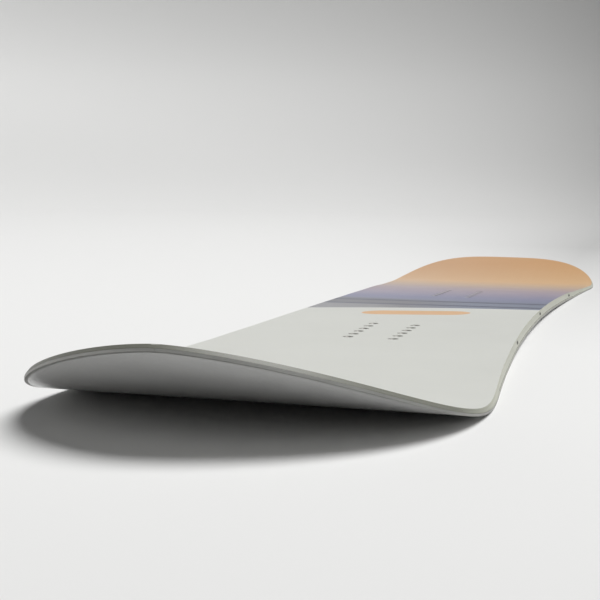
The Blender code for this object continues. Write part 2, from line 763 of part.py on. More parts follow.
def long_body(mesh, profile, placement):
    """A body with straight sides and round ends, from (radius, height) points, then placed."""
    run = PLUG_LENGTH / 2 - PLUG_RADIUS
    angles = [math.tau * (i + 0.5) / PLUG_SIDES for i in range(PLUG_SIDES)]
    rings = []
    for radius, height in profile:
        ring = []
        for angle in angles:
            x = radius * math.cos(angle) + math.copysign(run, math.cos(angle))
            point = Vector((x, radius * math.sin(angle), height))
            ring.append(mesh.verts.new(placement @ point))
        rings.append(ring)
    for first, second in zip(rings, rings[1:]):
        join_rails(mesh, first + first[:1], second + second[:1])
    mesh.faces.new(rings[0])
    mesh.faces.new(rings[-1])


def make_plugs(name, sidewall, side):
    """The long plugs of one sidewall, and the blind holes that they sit in."""
    shoulder = PLUG_RADIUS - PLUG_CHAMFER
    plug = [(PLUG_RADIUS, -PLUG_DEPTH), (PLUG_RADIUS, -PLUG_CHAMFER), (shoulder, 0.0)]
    radius = PLUG_RADIUS + GLUE
    hole = [(radius, -PLUG_DEPTH - GLUE), (radius, CUTTER_OVERRUN)]
    mesh = bmesh.new()
    long_body(mesh, plug, Matrix())
    first = finish_object(name + "_1", mesh, "plug")
    holes = bmesh.new()
    for number, share in enumerate(PLUG_SHARES, start=1):
        x = share * LENGTH
        piece = first if number == 1 else copy_object("%s_%d" % (name, number), first)
        piece.matrix_world = plug_frame(x, side)
        long_body(holes, hole, plug_frame(x, side))
    cut(sidewall, finish_cutter(name + "_cutter", holes))


def clear_scene():
    """Removes whatever the scene holds."""
    for item in list(bpy.data.objects):
        bpy.data.objects.remove(item, do_unlink=True)


def build():
    """Makes every piece, from the running base up."""
    clear_scene()
    make_base_sheet()
    make_lower_laminate()
    insert_cutter = make_insert_cutter()
    make_core(insert_cutter)
    for hand, side in (("left", as_built), ("right", mirrored)):
        make_steel_edge("steel_edge_" + hand, side)
        make_damping_strip("damping_strip_" + hand, side)
        sidewall = make_sidewall("sidewall_" + hand, side)
        make_plugs("sidewall_plug_" + hand, sidewall, side)
    nose = (NOSE_STATIONS, SPACER_NOSE_SIDES, NO_STATIONS)
    tail = (NO_STATIONS, SPACER_TAIL_SIDES, TAIL_STATIONS)
    make_tip_spacer("nose_spacer", nose, NOSE_JOINT_X, NOSE_CORE_X)
    make_tip_spacer("tail_spacer", tail, TAIL_JOINT_X, TAIL_CORE_X)
    make_inserts("front_insert", FRONT_PACK_X)
    make_inserts("rear_insert", REAR_PACK_X)
    for skin in (make_upper_laminate(), make_topsheet()):
        cut(skin, insert_cutter)


build()
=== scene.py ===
"""Looks of a bare snowboard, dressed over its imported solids.

The board lies along X with its nose at -X and its running base on Z = 0. Every visible skin is a
surface worked out from the board's own curves: its half width, the height of its base and its
thickness along X. A layer is a profile of (inset from the outline, height over the base) pairs,
carried from the nose tip to the tail tip. Sizes are in metres.
"""

import logging
import math
from dataclasses import dataclass, field
from enum import Enum
from typing import Callable, Sequence

import bmesh
import bpy
import numpy as np
from mathutils import Matrix, Vector


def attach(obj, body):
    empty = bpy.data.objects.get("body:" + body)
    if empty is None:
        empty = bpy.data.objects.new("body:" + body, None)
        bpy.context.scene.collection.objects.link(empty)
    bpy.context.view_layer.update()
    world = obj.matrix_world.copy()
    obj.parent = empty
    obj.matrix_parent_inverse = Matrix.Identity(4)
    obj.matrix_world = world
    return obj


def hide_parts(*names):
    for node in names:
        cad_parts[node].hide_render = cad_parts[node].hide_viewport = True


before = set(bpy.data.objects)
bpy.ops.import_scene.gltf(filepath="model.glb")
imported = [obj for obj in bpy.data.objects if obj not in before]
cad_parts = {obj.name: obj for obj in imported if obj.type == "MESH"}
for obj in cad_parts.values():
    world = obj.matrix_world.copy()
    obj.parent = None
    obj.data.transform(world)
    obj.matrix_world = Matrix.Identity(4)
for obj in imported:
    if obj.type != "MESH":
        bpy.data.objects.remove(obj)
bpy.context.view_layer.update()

LOG = logging.getLogger("snowboard")
ROOT = "root"
MERGE = 1e-6
SMOOTH_ANGLE = math.radians(30.0)
# A wave texture repeats every 0.314 m at a scale of one
WAVE = 0.314
# Painted shade round the nose is full ahead of the first of these places along X, and gone behind the second
NOSE_SHADE_SPAN = (-0.62, -0.48)
Array = np.ndarray
Pair = tuple[float, float]
Range = tuple[float, float, float, float]
Colour = tuple[float, float, float, float]
Level = Callable[[Array], Array] | float
Place = tuple[Level, Level]


class Side(Enum):
    """The two sides of the board, seen from the nose, with the sign of their y."""

    LEFT = 1.0
    RIGHT = -1.0

    @property
    def mirror(self) -> Array:
        """Factors that take left-hand points to this side."""
        return np.array([1.0, self.value, 1.0])


def value_at(size: Level, x: Array) -> Array:
    """A size at the places x: one number for all, or its own function of the place."""
    return size(x) if callable(size) else np.full_like(x, float(size))


def travelled(points: Array) -> Array:
    """The way covered from row to row of points, from zero at the first."""
    steps = np.linalg.norm(np.diff(points, axis=0), axis=-1)
    return np.concatenate([np.zeros((1, *steps.shape[1:])), np.cumsum(steps, axis=0)])


def round_rings(radius: Array, height: Array, turn: Array) -> Array:
    """Rings of points round Z by x, y, z: radius * cos(turn), radius * sin(turn), height."""
    x, y = radius * np.cos(turn), radius * np.sin(turn)
    return np.stack([x, y, np.broadcast_to(height[:, None], x.shape)], axis=2)


@dataclass(frozen=True)
class BoardForm:
    """The curves that every layer of the board follows."""

    length: float = 1.470
    waist_width: float = 0.238
    waist_x: float = 0.015
    sidecut_radius: float = 5.90
    nose_taper: float = 0.289
    nose_powers: Pair = (2.90, 1.59)
    tail_taper: float = 0.189
    tail_powers: Pair = (1.63, 3.35)
    tip_face: float = 0.006
    nose_kick: tuple[float, float, float] = (0.245, 0.057, 2.10)
    tail_kick: tuple[float, float, float] = (0.191, 0.0282, 1.95)
    contacts: Pair = (-0.310, 0.378)
    camber: float = 0.0040
    middle_thickness: float = 0.0092
    tip_thickness: float = 0.0045
    thin_from_tip: float = 0.175
    full_from_tip: float = 0.435
    bevel_inset: float = 0.0019
    edge_height: float = 0.00165
    pack_centres: Pair = (-0.200, 0.230)
    platform_half: float = 0.062

    def half_width(self, x: Array) -> Array:
        """Half the width: a circular sidecut times a rounded taper at each end.

        A taper is (1 - run**a)**(1/b), where run goes from 0 at its start to 1 at the tip.

        Args:
            x: Places along the board.

        Returns:
            Half the width there.
        """
        radius = self.sidecut_radius
        sidecut = radius - np.sqrt(radius**2 - (x - self.waist_x) ** 2)
        half = self.length / 2
        nose_run = np.clip((self.nose_taper - half - x) / self.nose_taper, 0.0, 1.0)
        tail_run = np.clip((x - half + self.tail_taper) / self.tail_taper, 0.0, 1.0)
        nose = (1.0 - nose_run ** self.nose_powers[0]) ** (1.0 / self.nose_powers[1])
        tail = (1.0 - tail_run ** self.tail_powers[0]) ** (1.0 / self.tail_powers[1])
        return (self.waist_width / 2 + sidecut) * nose * tail

    def running_curve(self, x: Array) -> Array:
        """Height of the base: a power curve at each kick, a parabola of camber between contacts.

        Args:
            x: Places along the board.

        Returns:
            The base's height there.
        """
        half = self.length / 2
        nose_length, nose_height, nose_power = self.nose_kick
        tail_length, tail_height, tail_power = self.tail_kick
        nose = np.clip((nose_length - half - x) / nose_length, 0.0, None)
        tail = np.clip((x - half + tail_length) / tail_length, 0.0, None)
        middle = sum(self.contacts) / 2
        reach = (self.contacts[1] - self.contacts[0]) / 2
        camber = self.camber * np.clip(1.0 - ((x - middle) / reach) ** 2, 0.0, None)
        return camber + nose_height * nose**nose_power + tail_height * tail**tail_power

    def base_height(self, x: Array) -> Array:
        """Height of the base, straight along each binding platform.

        Args:
            x: Places along the board.

        Returns:
            The base's height there.
        """
        x = np.asarray(x, dtype=float)
        height = self.running_curve(x)
        for centre in self.pack_centres:
            start, end = centre - self.platform_half, centre + self.platform_half
            first, last = self.running_curve(np.array([start, end]))
            share = (x - start) / (end - start)
            inside = (share > 0.0) & (share < 1.0)
            height = np.where(inside, first + (last - first) * share, height)
        return height

    def thickness(self, x: Array) -> Array:
        """Thickness of the sandwich: thin at the tips, full in the middle, an S-curve between.

        Args:
            x: Places along the board.

        Returns:
            The thickness there.
        """
        from_tip = self.length / 2 - np.abs(np.asarray(x, dtype=float))
        run = self.full_from_tip - self.thin_from_tip
        share = np.clip((from_tip - self.thin_from_tip) / run, 0.0, 1.0)
        rise = self.middle_thickness - self.tip_thickness
        return self.tip_thickness + rise * share**2 * (3.0 - 2.0 * share)

    def under_deck(self, depth: float) -> Level:
        """A height that stays the same depth under the top of the board."""
        return lambda x: self.thickness(x) - depth

    def bevel(self, level: Level, deeper: float = 0.0) -> Level:
        """Inset of the sloping side at a height: the share climbed times the full inset.

        Args:
            level: The height over the base.
            deeper: An extra inset.

        Returns:
            The inset as a function of the place along the board.
        """

        def inset(x: Array) -> Array:
            """The inset at the places x."""
            share = (value_at(level, x) - self.edge_height) / (self.thickness(x) - self.edge_height)
            return self.bevel_inset * np.clip(share, 0.0, None) + deeper

        return inset


FORM = BoardForm()


@dataclass(frozen=True)
class Outline:
    """The left-hand outline as fine points, and the stations that the layers are cut at."""

    points: int = 12001
    tip_step: float = 0.0032
    tip_turn: float = math.radians(2.2)
    side_step: float = 0.0075
    cell_step: float = 0.0025
    cells_half: float = 0.060
    nose_split: float = -0.618
    tail_split: float = 0.638
    tip_points: int = 1000
    x: Array = field(init=False)
    y: Array = field(init=False)
    out_x: Array = field(init=False)
    out_y: Array = field(init=False)
    nose: Array = field(init=False)
    sides: Array = field(init=False)
    tail: Array = field(init=False)

    def __post_init__(self) -> None:
        """Traces the outline by an even sweep, then spaces stations by length and by turn."""
        sweep = np.linspace(0.0, math.pi, self.points)
        x = -FORM.length / 2 * np.cos(sweep)
        y = FORM.half_width(x)
        along_x, along_y = np.gradient(x), np.gradient(y)
        step = np.hypot(along_x, along_y)
        out_x, out_y = -along_y / step, along_x / step
        turn = np.abs(np.diff(np.unwrap(np.arctan2(out_y, out_x)), prepend=math.pi))
        measure = np.cumsum(step / self.tip_step + turn / self.tip_turn)
        index = np.arange(self.points)
        near, far = slice(0, self.tip_points), slice(-self.tip_points, None)
        half_face = FORM.tip_face / 2
        nose_ends = (np.interp(half_face, y[near], index[near]), np.interp(self.nose_split, x, index))
        tail_ends = (np.interp(self.tail_split, x, index), np.interp(-half_face, -y[far], index[far]))
        values = {"x": x, "y": y, "out_x": out_x, "out_y": out_y, "sides": self._side_places()}
        for name, ends in (("nose", nose_ends), ("tail", tail_ends)):
            reach = np.interp(ends, index, measure)
            count = math.ceil(reach[1] - reach[0])
            values[name] = np.interp(np.linspace(*reach, count + 1), measure, index)
        for name, value in values.items():
            object.__setattr__(self, name, value)

    def _side_places(self) -> Array:
        """Places along the sides: even steps, and one cell step through each insert pack.

        Returns:
            The places, in order.
        """
        first, last = self.nose_split + self.side_step, self.tail_split - self.side_step
        breaks = [first, last, *FORM.contacts]
        for centre in FORM.pack_centres:
            for reach in (self.cells_half, FORM.platform_half):
                breaks += [centre - reach, centre + reach]
        breaks.sort()
        places = []
        for start, end in zip(breaks, breaks[1:]):
            middle = (start + end) / 2
            fine = any(abs(middle - centre) < FORM.platform_half for centre in FORM.pack_centres)
            count = max(1, round((end - start) / (self.cell_step if fine else self.side_step)))
            places.append(np.linspace(start, end, count + 1)[:-1])
        return np.concatenate([*places, [last]])

    def between(self, start: float, end: float) -> Array:
        """The side places from start to end, with start and end themselves.

        Args:
            start: The first place.
            end: The last place.

        Returns:
            The places, in order.
        """
        apart = self.cell_step / 4
        inside = self.sides[(self.sides > start + apart) & (self.sides < end - apart)]
        return np.concatenate([[start], inside, [end]])

    def moved_in(self, distance: Level) -> tuple[Array, Array]:
        """The outline's x and y, moved in by a distance along its own normal."""
        inset = value_at(distance, self.x)
        return self.x - inset * self.out_x, self.y - inset * self.out_y

    def read(self, line: tuple[Array, Array], x: Array) -> Array:
        """The y of a moved outline at the places x, between the two tip faces."""
        run = slice(int(self.nose[0]), int(self.tail[-1]))
        return np.interp(x, line[0][run], line[1][run])


@dataclass(frozen=True)
class Stations:
    """Where a piece is cut: outline indices round each tip, and places along the side."""

    nose: Array
    sides: Array
    tail: Array


OUTLINE = Outline()
NONE = np.array([])
WHOLE = Stations(OUTLINE.nose, OUTLINE.sides, OUTLINE.tail)


def rail(stations: Stations, inset: Level, level: Level) -> Array:
    """One line of a layer along the left-hand side.

    The outline is moved in by the inset along its own normal, read at the stations, and lifted to
    the base's height plus the level.

    Args:
        stations: Where the line has its points.
        inset: Distance in from the outline.
        level: Height over the base.

    Returns:
        Rows of x, y, z.
    """
    line = OUTLINE.moved_in(inset)
    index = np.arange(OUTLINE.points)
    nose, tail = ([np.interp(ends, index, part) for part in line] for ends in (stations.nose, stations.tail))
    x = np.concatenate([nose[0], stations.sides, tail[0]])
    y = np.concatenate([nose[1], OUTLINE.read(line, stations.sides), tail[1]])
    return np.column_stack([x, y, FORM.base_height(x) + value_at(level, x)])


def profile_rails(stations: Stations, profile: Sequence[Place], side: Side = Side.LEFT) -> Array:
    """The rails of a whole profile on one side: stations by profile points by x, y, z."""
    return np.stack([rail(stations, inset, level) for inset, level in profile], axis=1) * side.mirror


class Shell:
    """A mesh in the making: blocks of points and the faces between them."""

    def __init__(self) -> None:
        """Starts with no points."""
        self.points: list[Array] = []
        self.marks: list[Array] = []
        self.faces: list[list[int]] = []
        self.count = 0

    def add_grid(self, points: Array, wrap: bool = False, keep: "Array | None" = None,
                 marks: "Array | None" = None) -> None:
        """Adds a grid of points and a four-sided face between each two rows and columns.

        Args:
            points: Rows by columns by x, y, z.
            wrap: Whether the last column joins the first.
            keep: Which faces stay, as rows by columns of True and False.
            marks: One number for each point, kept for the piece's finish.
        """
        rows, columns = points.shape[:2]
        row, column = np.meshgrid(np.arange(rows - 1), np.arange(columns if wrap else columns - 1),
                                  indexing="ij")
        beside = (column + 1) % columns
        corners = [row * columns + column, row * columns + beside,
                   (row + 1) * columns + beside, (row + 1) * columns + column]
        faces = self.count + np.stack(corners, axis=-1)
        self.faces.extend((faces.reshape(-1, 4) if keep is None else faces[keep]).tolist())
        self.points.append(points.reshape(-1, 3))
        self.marks.append(np.zeros(rows * columns) if marks is None else marks.ravel())
        self.count += rows * columns

    def add_tube(self, rings: Array) -> None:
        """Adds a closed body: the grid between rings of points, and a face at each end.

        Args:
            rings: Stations by profile points by x, y, z, each ring closed on itself.
        """
        start, size = self.count, rings.shape[1]
        self.add_grid(rings, wrap=True)
        self.faces.append(list(range(start, start + size)))
        self.faces.append(list(range(self.count - size, self.count)))

    def build(self, name: str, rides: bool = True) -> bpy.types.Object:
        """Makes the object: doubles merged, faces outwards, smooth up to an angle.

        Args:
            name: The object's name.
            rides: Whether it is a piece of the board.

        Returns:
            The object.
        """
        data = bpy.data.meshes.new(name)
        data.from_pydata(np.concatenate(self.points).tolist(), [], self.faces)
        marks = np.concatenate(self.marks)
        if marks.any():
            data.attributes.new("mark", "FLOAT", "POINT").data.foreach_set("value", marks)
        mesh = bmesh.new()
        mesh.from_mesh(data)
        bmesh.ops.remove_doubles(mesh, verts=mesh.verts, dist=MERGE)
        bmesh.ops.recalc_face_normals(mesh, faces=mesh.faces)
        mesh.to_mesh(data)
        mesh.free()
        data.shade_smooth()
        data.set_sharp_from_angle(angle=SMOOTH_ANGLE)
        piece = bpy.data.objects.new(name, data)
        bpy.context.scene.collection.objects.link(piece)
        if rides:
            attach(piece, ROOT)
        return piece


def linear(code: str) -> Colour:
    """An sRGB hex colour as linear red, green, blue and an alpha of one, by the standard's curve."""
    parts = [int(code[i:i + 2], 16) / 255.0 for i in (1, 3, 5)]
    return (*(p / 12.92 if p <= 0.04045 else ((p + 0.055) / 1.055) ** 2.4 for p in parts), 1.0)


class Graph:
    """A material's node tree round its Principled shader."""

    def __init__(self, name: str) -> None:
        """Starts a material with a Principled shader and Object coordinates.

        Args:
            name: The material's name.
        """
        self.made = bpy.data.materials.new(name)
        self.made.use_nodes = True
        self.tree = self.made.node_tree
        self.shader = self.tree.nodes["Principled BSDF"]
        self.place = self.add("TexCoord").outputs["Object"]

    def put(self, node: bpy.types.Node, key: "str | int", value: object) -> None:
        """Sets an input to a plain value, or links it to a socket or to a node's first output.

        Args:
            node: The node that has the input.
            key: The input's name or number.
            value: A plain value, a socket or a node.
        """
        source = value.outputs[0] if isinstance(value, bpy.types.Node) else value
        if isinstance(source, bpy.types.NodeSocket):
            self.tree.links.new(source, node.inputs[key])
        else:
            node.inputs[key].default_value = source

    def add(self, kind: str, inputs: "dict | tuple" = (), stops: Sequence[tuple[float, str]] = (),
            **settings: object) -> bpy.types.Node:
        """Adds a node with its settings and links.

        Args:
            kind: The node's type, without the words that all of them start with.
            inputs: What goes in, in the order of the inputs, or by their names or numbers.
            stops: Places and hex colours of a ramp, its two ends first.
            **settings: The node's own properties.

        Returns:
            The node.
        """
        node = self.tree.nodes.new("ShaderNode" + kind)
        for name, value in settings.items():
            setattr(node, name, value)
        for key, value in inputs.items() if isinstance(inputs, dict) else enumerate(inputs):
            self.put(node, key, value)
        for number, (place, code) in enumerate(stops):
            elements = node.color_ramp.elements
            element = elements[number] if number < 2 else elements.new(place)
            element.position, element.color = place, linear(code)
        return node

    def surface(self, **inputs: object) -> None:
        """Feeds the shader's own inputs, named with underscores for spaces."""
        for name, value in inputs.items():
            self.put(self.shader, name.replace("_", " "), value)


@dataclass(frozen=True)
class Finish:
    """A real material by its common name, with typical optical values.

    In every finish a noise's scale is its blotches in a metre. The relief is a strength and a
    depth. The gloss is a pattern's low and high, and how much smoother and rougher they make it.
    """

    name: str
    colour: str
    roughness: float
    ior: float = 1.50
    metallic: float = 0.0
    relief: Pair = (0.3, 0.0001)
    gloss: Range = (0.2, 0.8, 0.05, 0.08)

    def material(self) -> bpy.types.Material:
        """Makes the Blender material, once for all the pieces that have this finish.

        Returns:
            The material.
        """
        if self.name in bpy.data.materials:
            return bpy.data.materials[self.name]
        graph = Graph(self.name)
        graph.surface(Base_Color=linear(self.colour), Roughness=self.roughness, IOR=self.ior,
                      Metallic=self.metallic)
        self.draw(graph)
        graph.made.diffuse_color = linear(self.colour)
        return graph.made

    def draw(self, graph: Graph) -> None:
        """Draws what the surface shows."""
        raise NotImplementedError

    def lay(self, graph: Graph, colour: object, heights: object, shine: object = None) -> None:
        """Feeds the shader a colour, a relief and a roughness that varies.

        Args:
            graph: The material's node tree.
            colour: The colour over the surface.
            heights: The pattern of the relief.
            shine: The pattern of the roughness.
        """
        strength, depth = self.relief
        graph.surface(Base_Color=colour, Normal=graph.add(
            "Bump", {"Height": heights, "Strength": strength, "Distance": depth}))
        if shine is not None:
            low, high, smoother, rougher = self.gloss
            graph.surface(Roughness=graph.add(
                "MapRange", (shine, low, high, self.roughness - smoother, self.roughness + rougher)))

    @staticmethod
    def nose_shaded(graph: Graph, colour: object, kept: float = 0.39) -> bpy.types.NodeSocket:
        """A colour darkened round the nose by painted shade.

        Args:
            graph: The material's node tree.
            colour: The colour before the painted shade.
            kept: The share of the colour that is left at the nose.

        Returns:
            The darkened colour.
        """
        x = graph.add("SeparateXYZ", (graph.place,)).outputs["X"]
        shade = graph.add("MapRange", (x, *NOSE_SHADE_SPAN, kept), interpolation_type="SMOOTHSTEP")
        return graph.add("Mix", {0: 1.0, 6: colour, 7: shade}, data_type="RGBA",
                         blend_type="MULTIPLY").outputs[2]


@dataclass(frozen=True)
class PrintedNylon(Finish):
    """Clear polyamide foil, dye-printed from behind, pressed satin against a steel plate."""

    relief: Pair = (0.10, 0.0004)
    gloss: Range = (0.2, 0.8, 0.04, 0.05)
    slant: float = 0.34
    bow: float = 0.8
    field_end: float = 0.0105
    field_blur: float = 0.0003
    hairline: float = 0.0035
    hairline_blur: float = 0.0004
    hairline_tone: str = "#e2e3df"
    pinstripes: tuple[Pair, ...] = ((0.0500, 0.013), (0.0975, 0.015))
    pinstripe_slant: float = 0.13
    pinstripe_share: float = 0.85
    pinstripe_tone: str = "#54586a"
    fade_slant: float = 0.16
    fade_ends: Pair = (0.095, 0.715)
    fade: tuple[tuple[float, str], ...] = (
        (0.00, "#828899"), (1.00, "#cfa171"), (0.13, "#8788a3"), (0.29, "#a398a6"),
        (0.45, "#b1a0a0"), (0.61, "#c7ad95"), (0.77, "#dbb487"))
    streak: float = 0.030
    greys: tuple[tuple[Pair, Pair, str], ...] = (
        ((-0.04, 0.03), (0.095, 0.120), "#7f7e82"), ((0.02, 0.06), (0.036, 0.046), "#979698"))
    left_paling: Range = (-0.11, 0.11, 0.0, 0.10)
    paling_tone: str = "#f4f6ff"
    bar: tuple[float, float, float, float] = (-0.040, 0.0, 0.033, 0.0200)
    bar_tone: str = "#e3b88c"
    cut_edge: str = "#bcbeb0"

    def draw(self, graph: Graph) -> None:
        """A pale field, then a bowed edge to a fade from blue through lilac to orange.

        The edge is a level line of x + slant*y + bow*y*y. The fade reads x + fade_slant*y.

        Args:
            graph: The material's node tree.
        """
        add = graph.add
        parts = add("SeparateXYZ", (graph.place,))
        x, y = parts.outputs["X"], parts.outputs["Y"]
        square = add("Math", (y, y), operation="MULTIPLY")
        leaning = add("Math", (y, self.slant, x), operation="MULTIPLY_ADD")
        edge = add("Math", (square, self.bow, leaning), operation="MULTIPLY_ADD")
        fade = add("Math", (y, self.fade_slant, x), operation="MULTIPLY_ADD")
        # Dye streaks from the print rollers: 6 mm wide, 0.4 m long, very faint
        stretched = add("Mapping", {"Vector": graph.place, "Scale": (2.5, 160.0, 1.0)})
        streaks = add("TexNoise", {"Vector": stretched, "Scale": 1.0, "Detail": 2.0})
        shifted = add("Math", (streaks, self.streak, fade), operation="MULTIPLY_ADD")
        span = add("MapRange", (shifted, *self.fade_ends))
        # A layer: how much of its upper colour shows, its lower and its upper colour. None is the
        # colour so far
        layers = []
        # Left of the middle the blue starts as two warm greys
        for leftward, lengthwise, tone in self.greys:
            kept = add("MapRange", (x, *lengthwise, 1.0, 0.0))
            share = add("Math", (add("MapRange", (y, *leftward)), kept), operation="MULTIPLY")
            layers.append((share, None, linear(tone)))
        ruled = add("Math", (y, self.pinstripe_slant, x), operation="MULTIPLY_ADD")
        for place, width in self.pinstripes:
            away = add("Math", (ruled, place, width / 2), operation="COMPARE")
            share = add("Math", (away, self.pinstripe_share), operation="MULTIPLY")
            layers.append((share, None, linear(self.pinstripe_tone)))
        # The colours turn paler towards the left
        layers.append((add("MapRange", (y, *self.left_paling)), None, linear(self.paling_tone)))
        line_end = self.field_end + self.hairline
        line = add("MapRange", (edge, line_end, line_end + self.hairline_blur))
        layers.append((line, linear(self.hairline_tone), None))
        field_side = add("MapRange", (edge, self.field_end, self.field_end + self.field_blur))
        # The pale field has faint clouds, 14 cm across
        cloud = add("TexNoise", {"Vector": graph.place, "Scale": 7.0, "Detail": 3.0})
        pale = add("ValToRGB", (cloud,), stops=[(0.25, "#d8d9d3"), (0.75, "#dcddd7")])
        layers.append((field_side, pale, None))
        # A plain capsule bar: a level line of the distance to a short segment across the board
        bar_x, bar_y, half, radius = self.bar
        over_y = add("Math", (y, bar_y), operation="SUBTRACT")
        rest_y = add("Math", (over_y, add("Clamp", (over_y, -half, half))), operation="SUBTRACT")
        over_x = add("Math", (leaning, bar_x), operation="SUBTRACT")
        offset = add("CombineXYZ", (over_x, rest_y))
        distance = add("VectorMath", (offset,), operation="LENGTH").outputs["Value"]
        inside = add("MapRange", (distance, radius, radius - self.field_blur))
        layers.append((inside, None, linear(self.bar_tone)))
        # Milled through at the side, the foil shows no print but the tone of the strip under it
        cut = add("Attribute", attribute_name="mark").outputs["Fac"]
        # The cut edge takes painted shade round the nose as well
        layers.append((cut, None, self.nose_shaded(graph, linear(self.cut_edge))))
        colour = add("ValToRGB", (span,), stops=self.fade)
        for share, under, over in layers:
            colour = add("Mix", {0: share, 6: colour if under is None else under,
                                 7: colour if over is None else over}, data_type="RGBA").outputs[2]
        # The press plate leaves a fine orange peel, 1.5 mm across. Rubbing varies the gloss over 45 mm
        peel = add("TexNoise", {"Vector": graph.place, "Scale": 650.0, "Detail": 2.0})
        rub = add("TexNoise", {"Vector": graph.place, "Scale": 22.0, "Detail": 4.0})
        self.lay(graph, colour, peel, rub)


@dataclass(frozen=True)
class MilledAbs(Finish):
    """Extruded ABS strip, milled to its bevel with the board already pressed.

    The cutter leaves fine ripples across the strip and a drawn-out, silky haze along it.
    """

    relief: Pair = (0.18, 0.0002)
    gloss: Range = (0.2, 0.8, 0.06, 0.08)
    darker: str = "#b7b8ac"
    ripple: float = 0.0012
    ripple_share: float = 0.35

    def draw(self, graph: Graph) -> None:
        """Long streaks in the colour, cutter ripples and hairline scratches in the relief.

        The streaks are 170 mm long and 1 mm high, the scratches 33 mm long and 0.2 mm high.

        Args:
            graph: The material's node tree.
        """
        add = graph.add
        along = add("Mapping", {"Vector": graph.place, "Scale": (6.0, 120.0, 900.0)})
        haze = add("TexNoise", {"Vector": along, "Scale": 1.0, "Detail": 4.0})
        milled = add("ValToRGB", (haze,), stops=[(0.25, self.darker), (0.75, self.colour)])
        ripples = add("TexWave", {"Vector": graph.place, "Scale": WAVE / self.ripple, "Distortion": 1.2,
                                  "Detail": 1.0}, bands_direction="X")
        scratch = add("TexNoise", {"Vector": along, "Scale": 5.0, "Detail": 2.0})
        heights = add("Math", (ripples.outputs["Fac"], self.ripple_share, scratch), operation="MULTIPLY_ADD")
        # Painted shade darkens the milled colour round the nose
        self.lay(graph, self.nose_shaded(graph, milled), heights, scratch)


@dataclass(frozen=True)
class GroundSteel(Finish):
    """Rolled spring-steel profile, its faces ground along their length on a wet belt.

    Round the nose its colour is darkened by painted shade.
    """

    relief: Pair = (0.25, 0.0001)
    gloss: Range = (0.25, 0.75, 0.08, 0.10)
    stain_share: float = 0.35
    nose_shade_kept: float = 0.82

    def draw(self, graph: Graph) -> None:
        """Grinding scratches 0.1 mm wide, drawn at 0.4 mm so that they show, and faint blueing.

        The scratches are 33 mm long, and so are the patches of blueing.

        Args:
            graph: The material's node tree.
        """
        add = graph.add
        along = add("Mapping", {"Vector": graph.place, "Scale": (30.0, 2500.0, 2500.0)})
        scratch = add("TexNoise", {"Vector": along, "Scale": 1.0, "Detail": 5.0})
        stain = add("TexNoise", {"Vector": graph.place, "Scale": 30.0, "Detail": 3.0})
        mixed = add("Math", (scratch, self.stain_share, stain), operation="MULTIPLY_ADD")
        ground = add("ValToRGB", (mixed,), stops=[(0.35, "#a3a3a0"), (0.95, "#c1c1be"), (0.60, self.colour)])
        # Painted shade darkens the steel round the nose
        self.lay(graph, self.nose_shaded(graph, ground, self.nose_shade_kept), scratch, scratch)


@dataclass(frozen=True)
class StoneGroundBase(Finish):
    """Polyethylene, ground on a dressed stone into fine lengthwise channels, then waxed and polished.

    The wax leaves it glossy, so that it mirrors the floor softly at a low angle.
    """

    relief: Pair = (0.12, 0.0002)
    channel: float = 0.0009
    grain_share: float = 0.4

    def draw(self, graph: Graph) -> None:
        """Channels 0.9 mm apart that wander slightly, and the cloudy grey of sintered grains.

        The grains are under 0.5 mm, drawn at 2.4 mm so that they show. The clouds are 11 cm across.

        Args:
            graph: The material's node tree.
        """
        add = graph.add
        grains = add("TexNoise", {"Vector": graph.place, "Scale": 420.0, "Detail": 3.0})
        cloud = add("TexNoise", {"Vector": graph.place, "Scale": 9.0, "Detail": 2.0})
        mixed = add("Math", (grains, self.grain_share, cloud), operation="MULTIPLY_ADD")
        colour = add("ValToRGB", (mixed,), stops=[(0.4, "#bcbcbb"), (1.0, self.colour)])
        grooves = add("TexWave", {"Vector": graph.place, "Scale": WAVE / self.channel, "Distortion": 0.6,
                                  "Detail": 2.0}, bands_direction="Y")
        self.lay(graph, colour, grooves.outputs["Fac"], cloud)


@dataclass(frozen=True)
class GlassLaminate(Finish):
    """Glass fibre in cured epoxy. Cut through at the side it is a greenish, half-clear line."""

    relief: Pair = (0.2, 0.0001)
    bundle: float = 0.0018
    weave_share: float = 0.35

    def draw(self, graph: Graph) -> None:
        """Fibre bundles at 45 degrees both ways, 1.8 mm apart, over resin of uneven depth.

        The resin is deeper and shallower in patches 17 mm across.

        Args:
            graph: The material's node tree.
        """
        add = graph.add
        bundles = []
        for turn in (math.radians(45.0), math.radians(-45.0)):
            turned = add("Mapping", {"Vector": graph.place, "Rotation": (0.0, 0.0, turn)})
            wave = add("TexWave", {"Vector": turned, "Scale": WAVE / self.bundle, "Distortion": 0.4},
                       bands_direction="X")
            bundles.append(wave.outputs["Fac"])
        weave = add("Math", tuple(bundles), operation="MAXIMUM")
        resin = add("TexNoise", {"Vector": graph.place, "Scale": 60.0, "Detail": 3.0})
        mixed = add("Math", (weave, self.weave_share, resin), operation="MULTIPLY_ADD")
        glass = add("ValToRGB", (mixed,), stops=[(0.3, "#aaac9c"), (0.9, self.colour)])
        # Painted shade darkens the glass round the nose
        self.lay(graph, self.nose_shaded(graph, glass), weave)


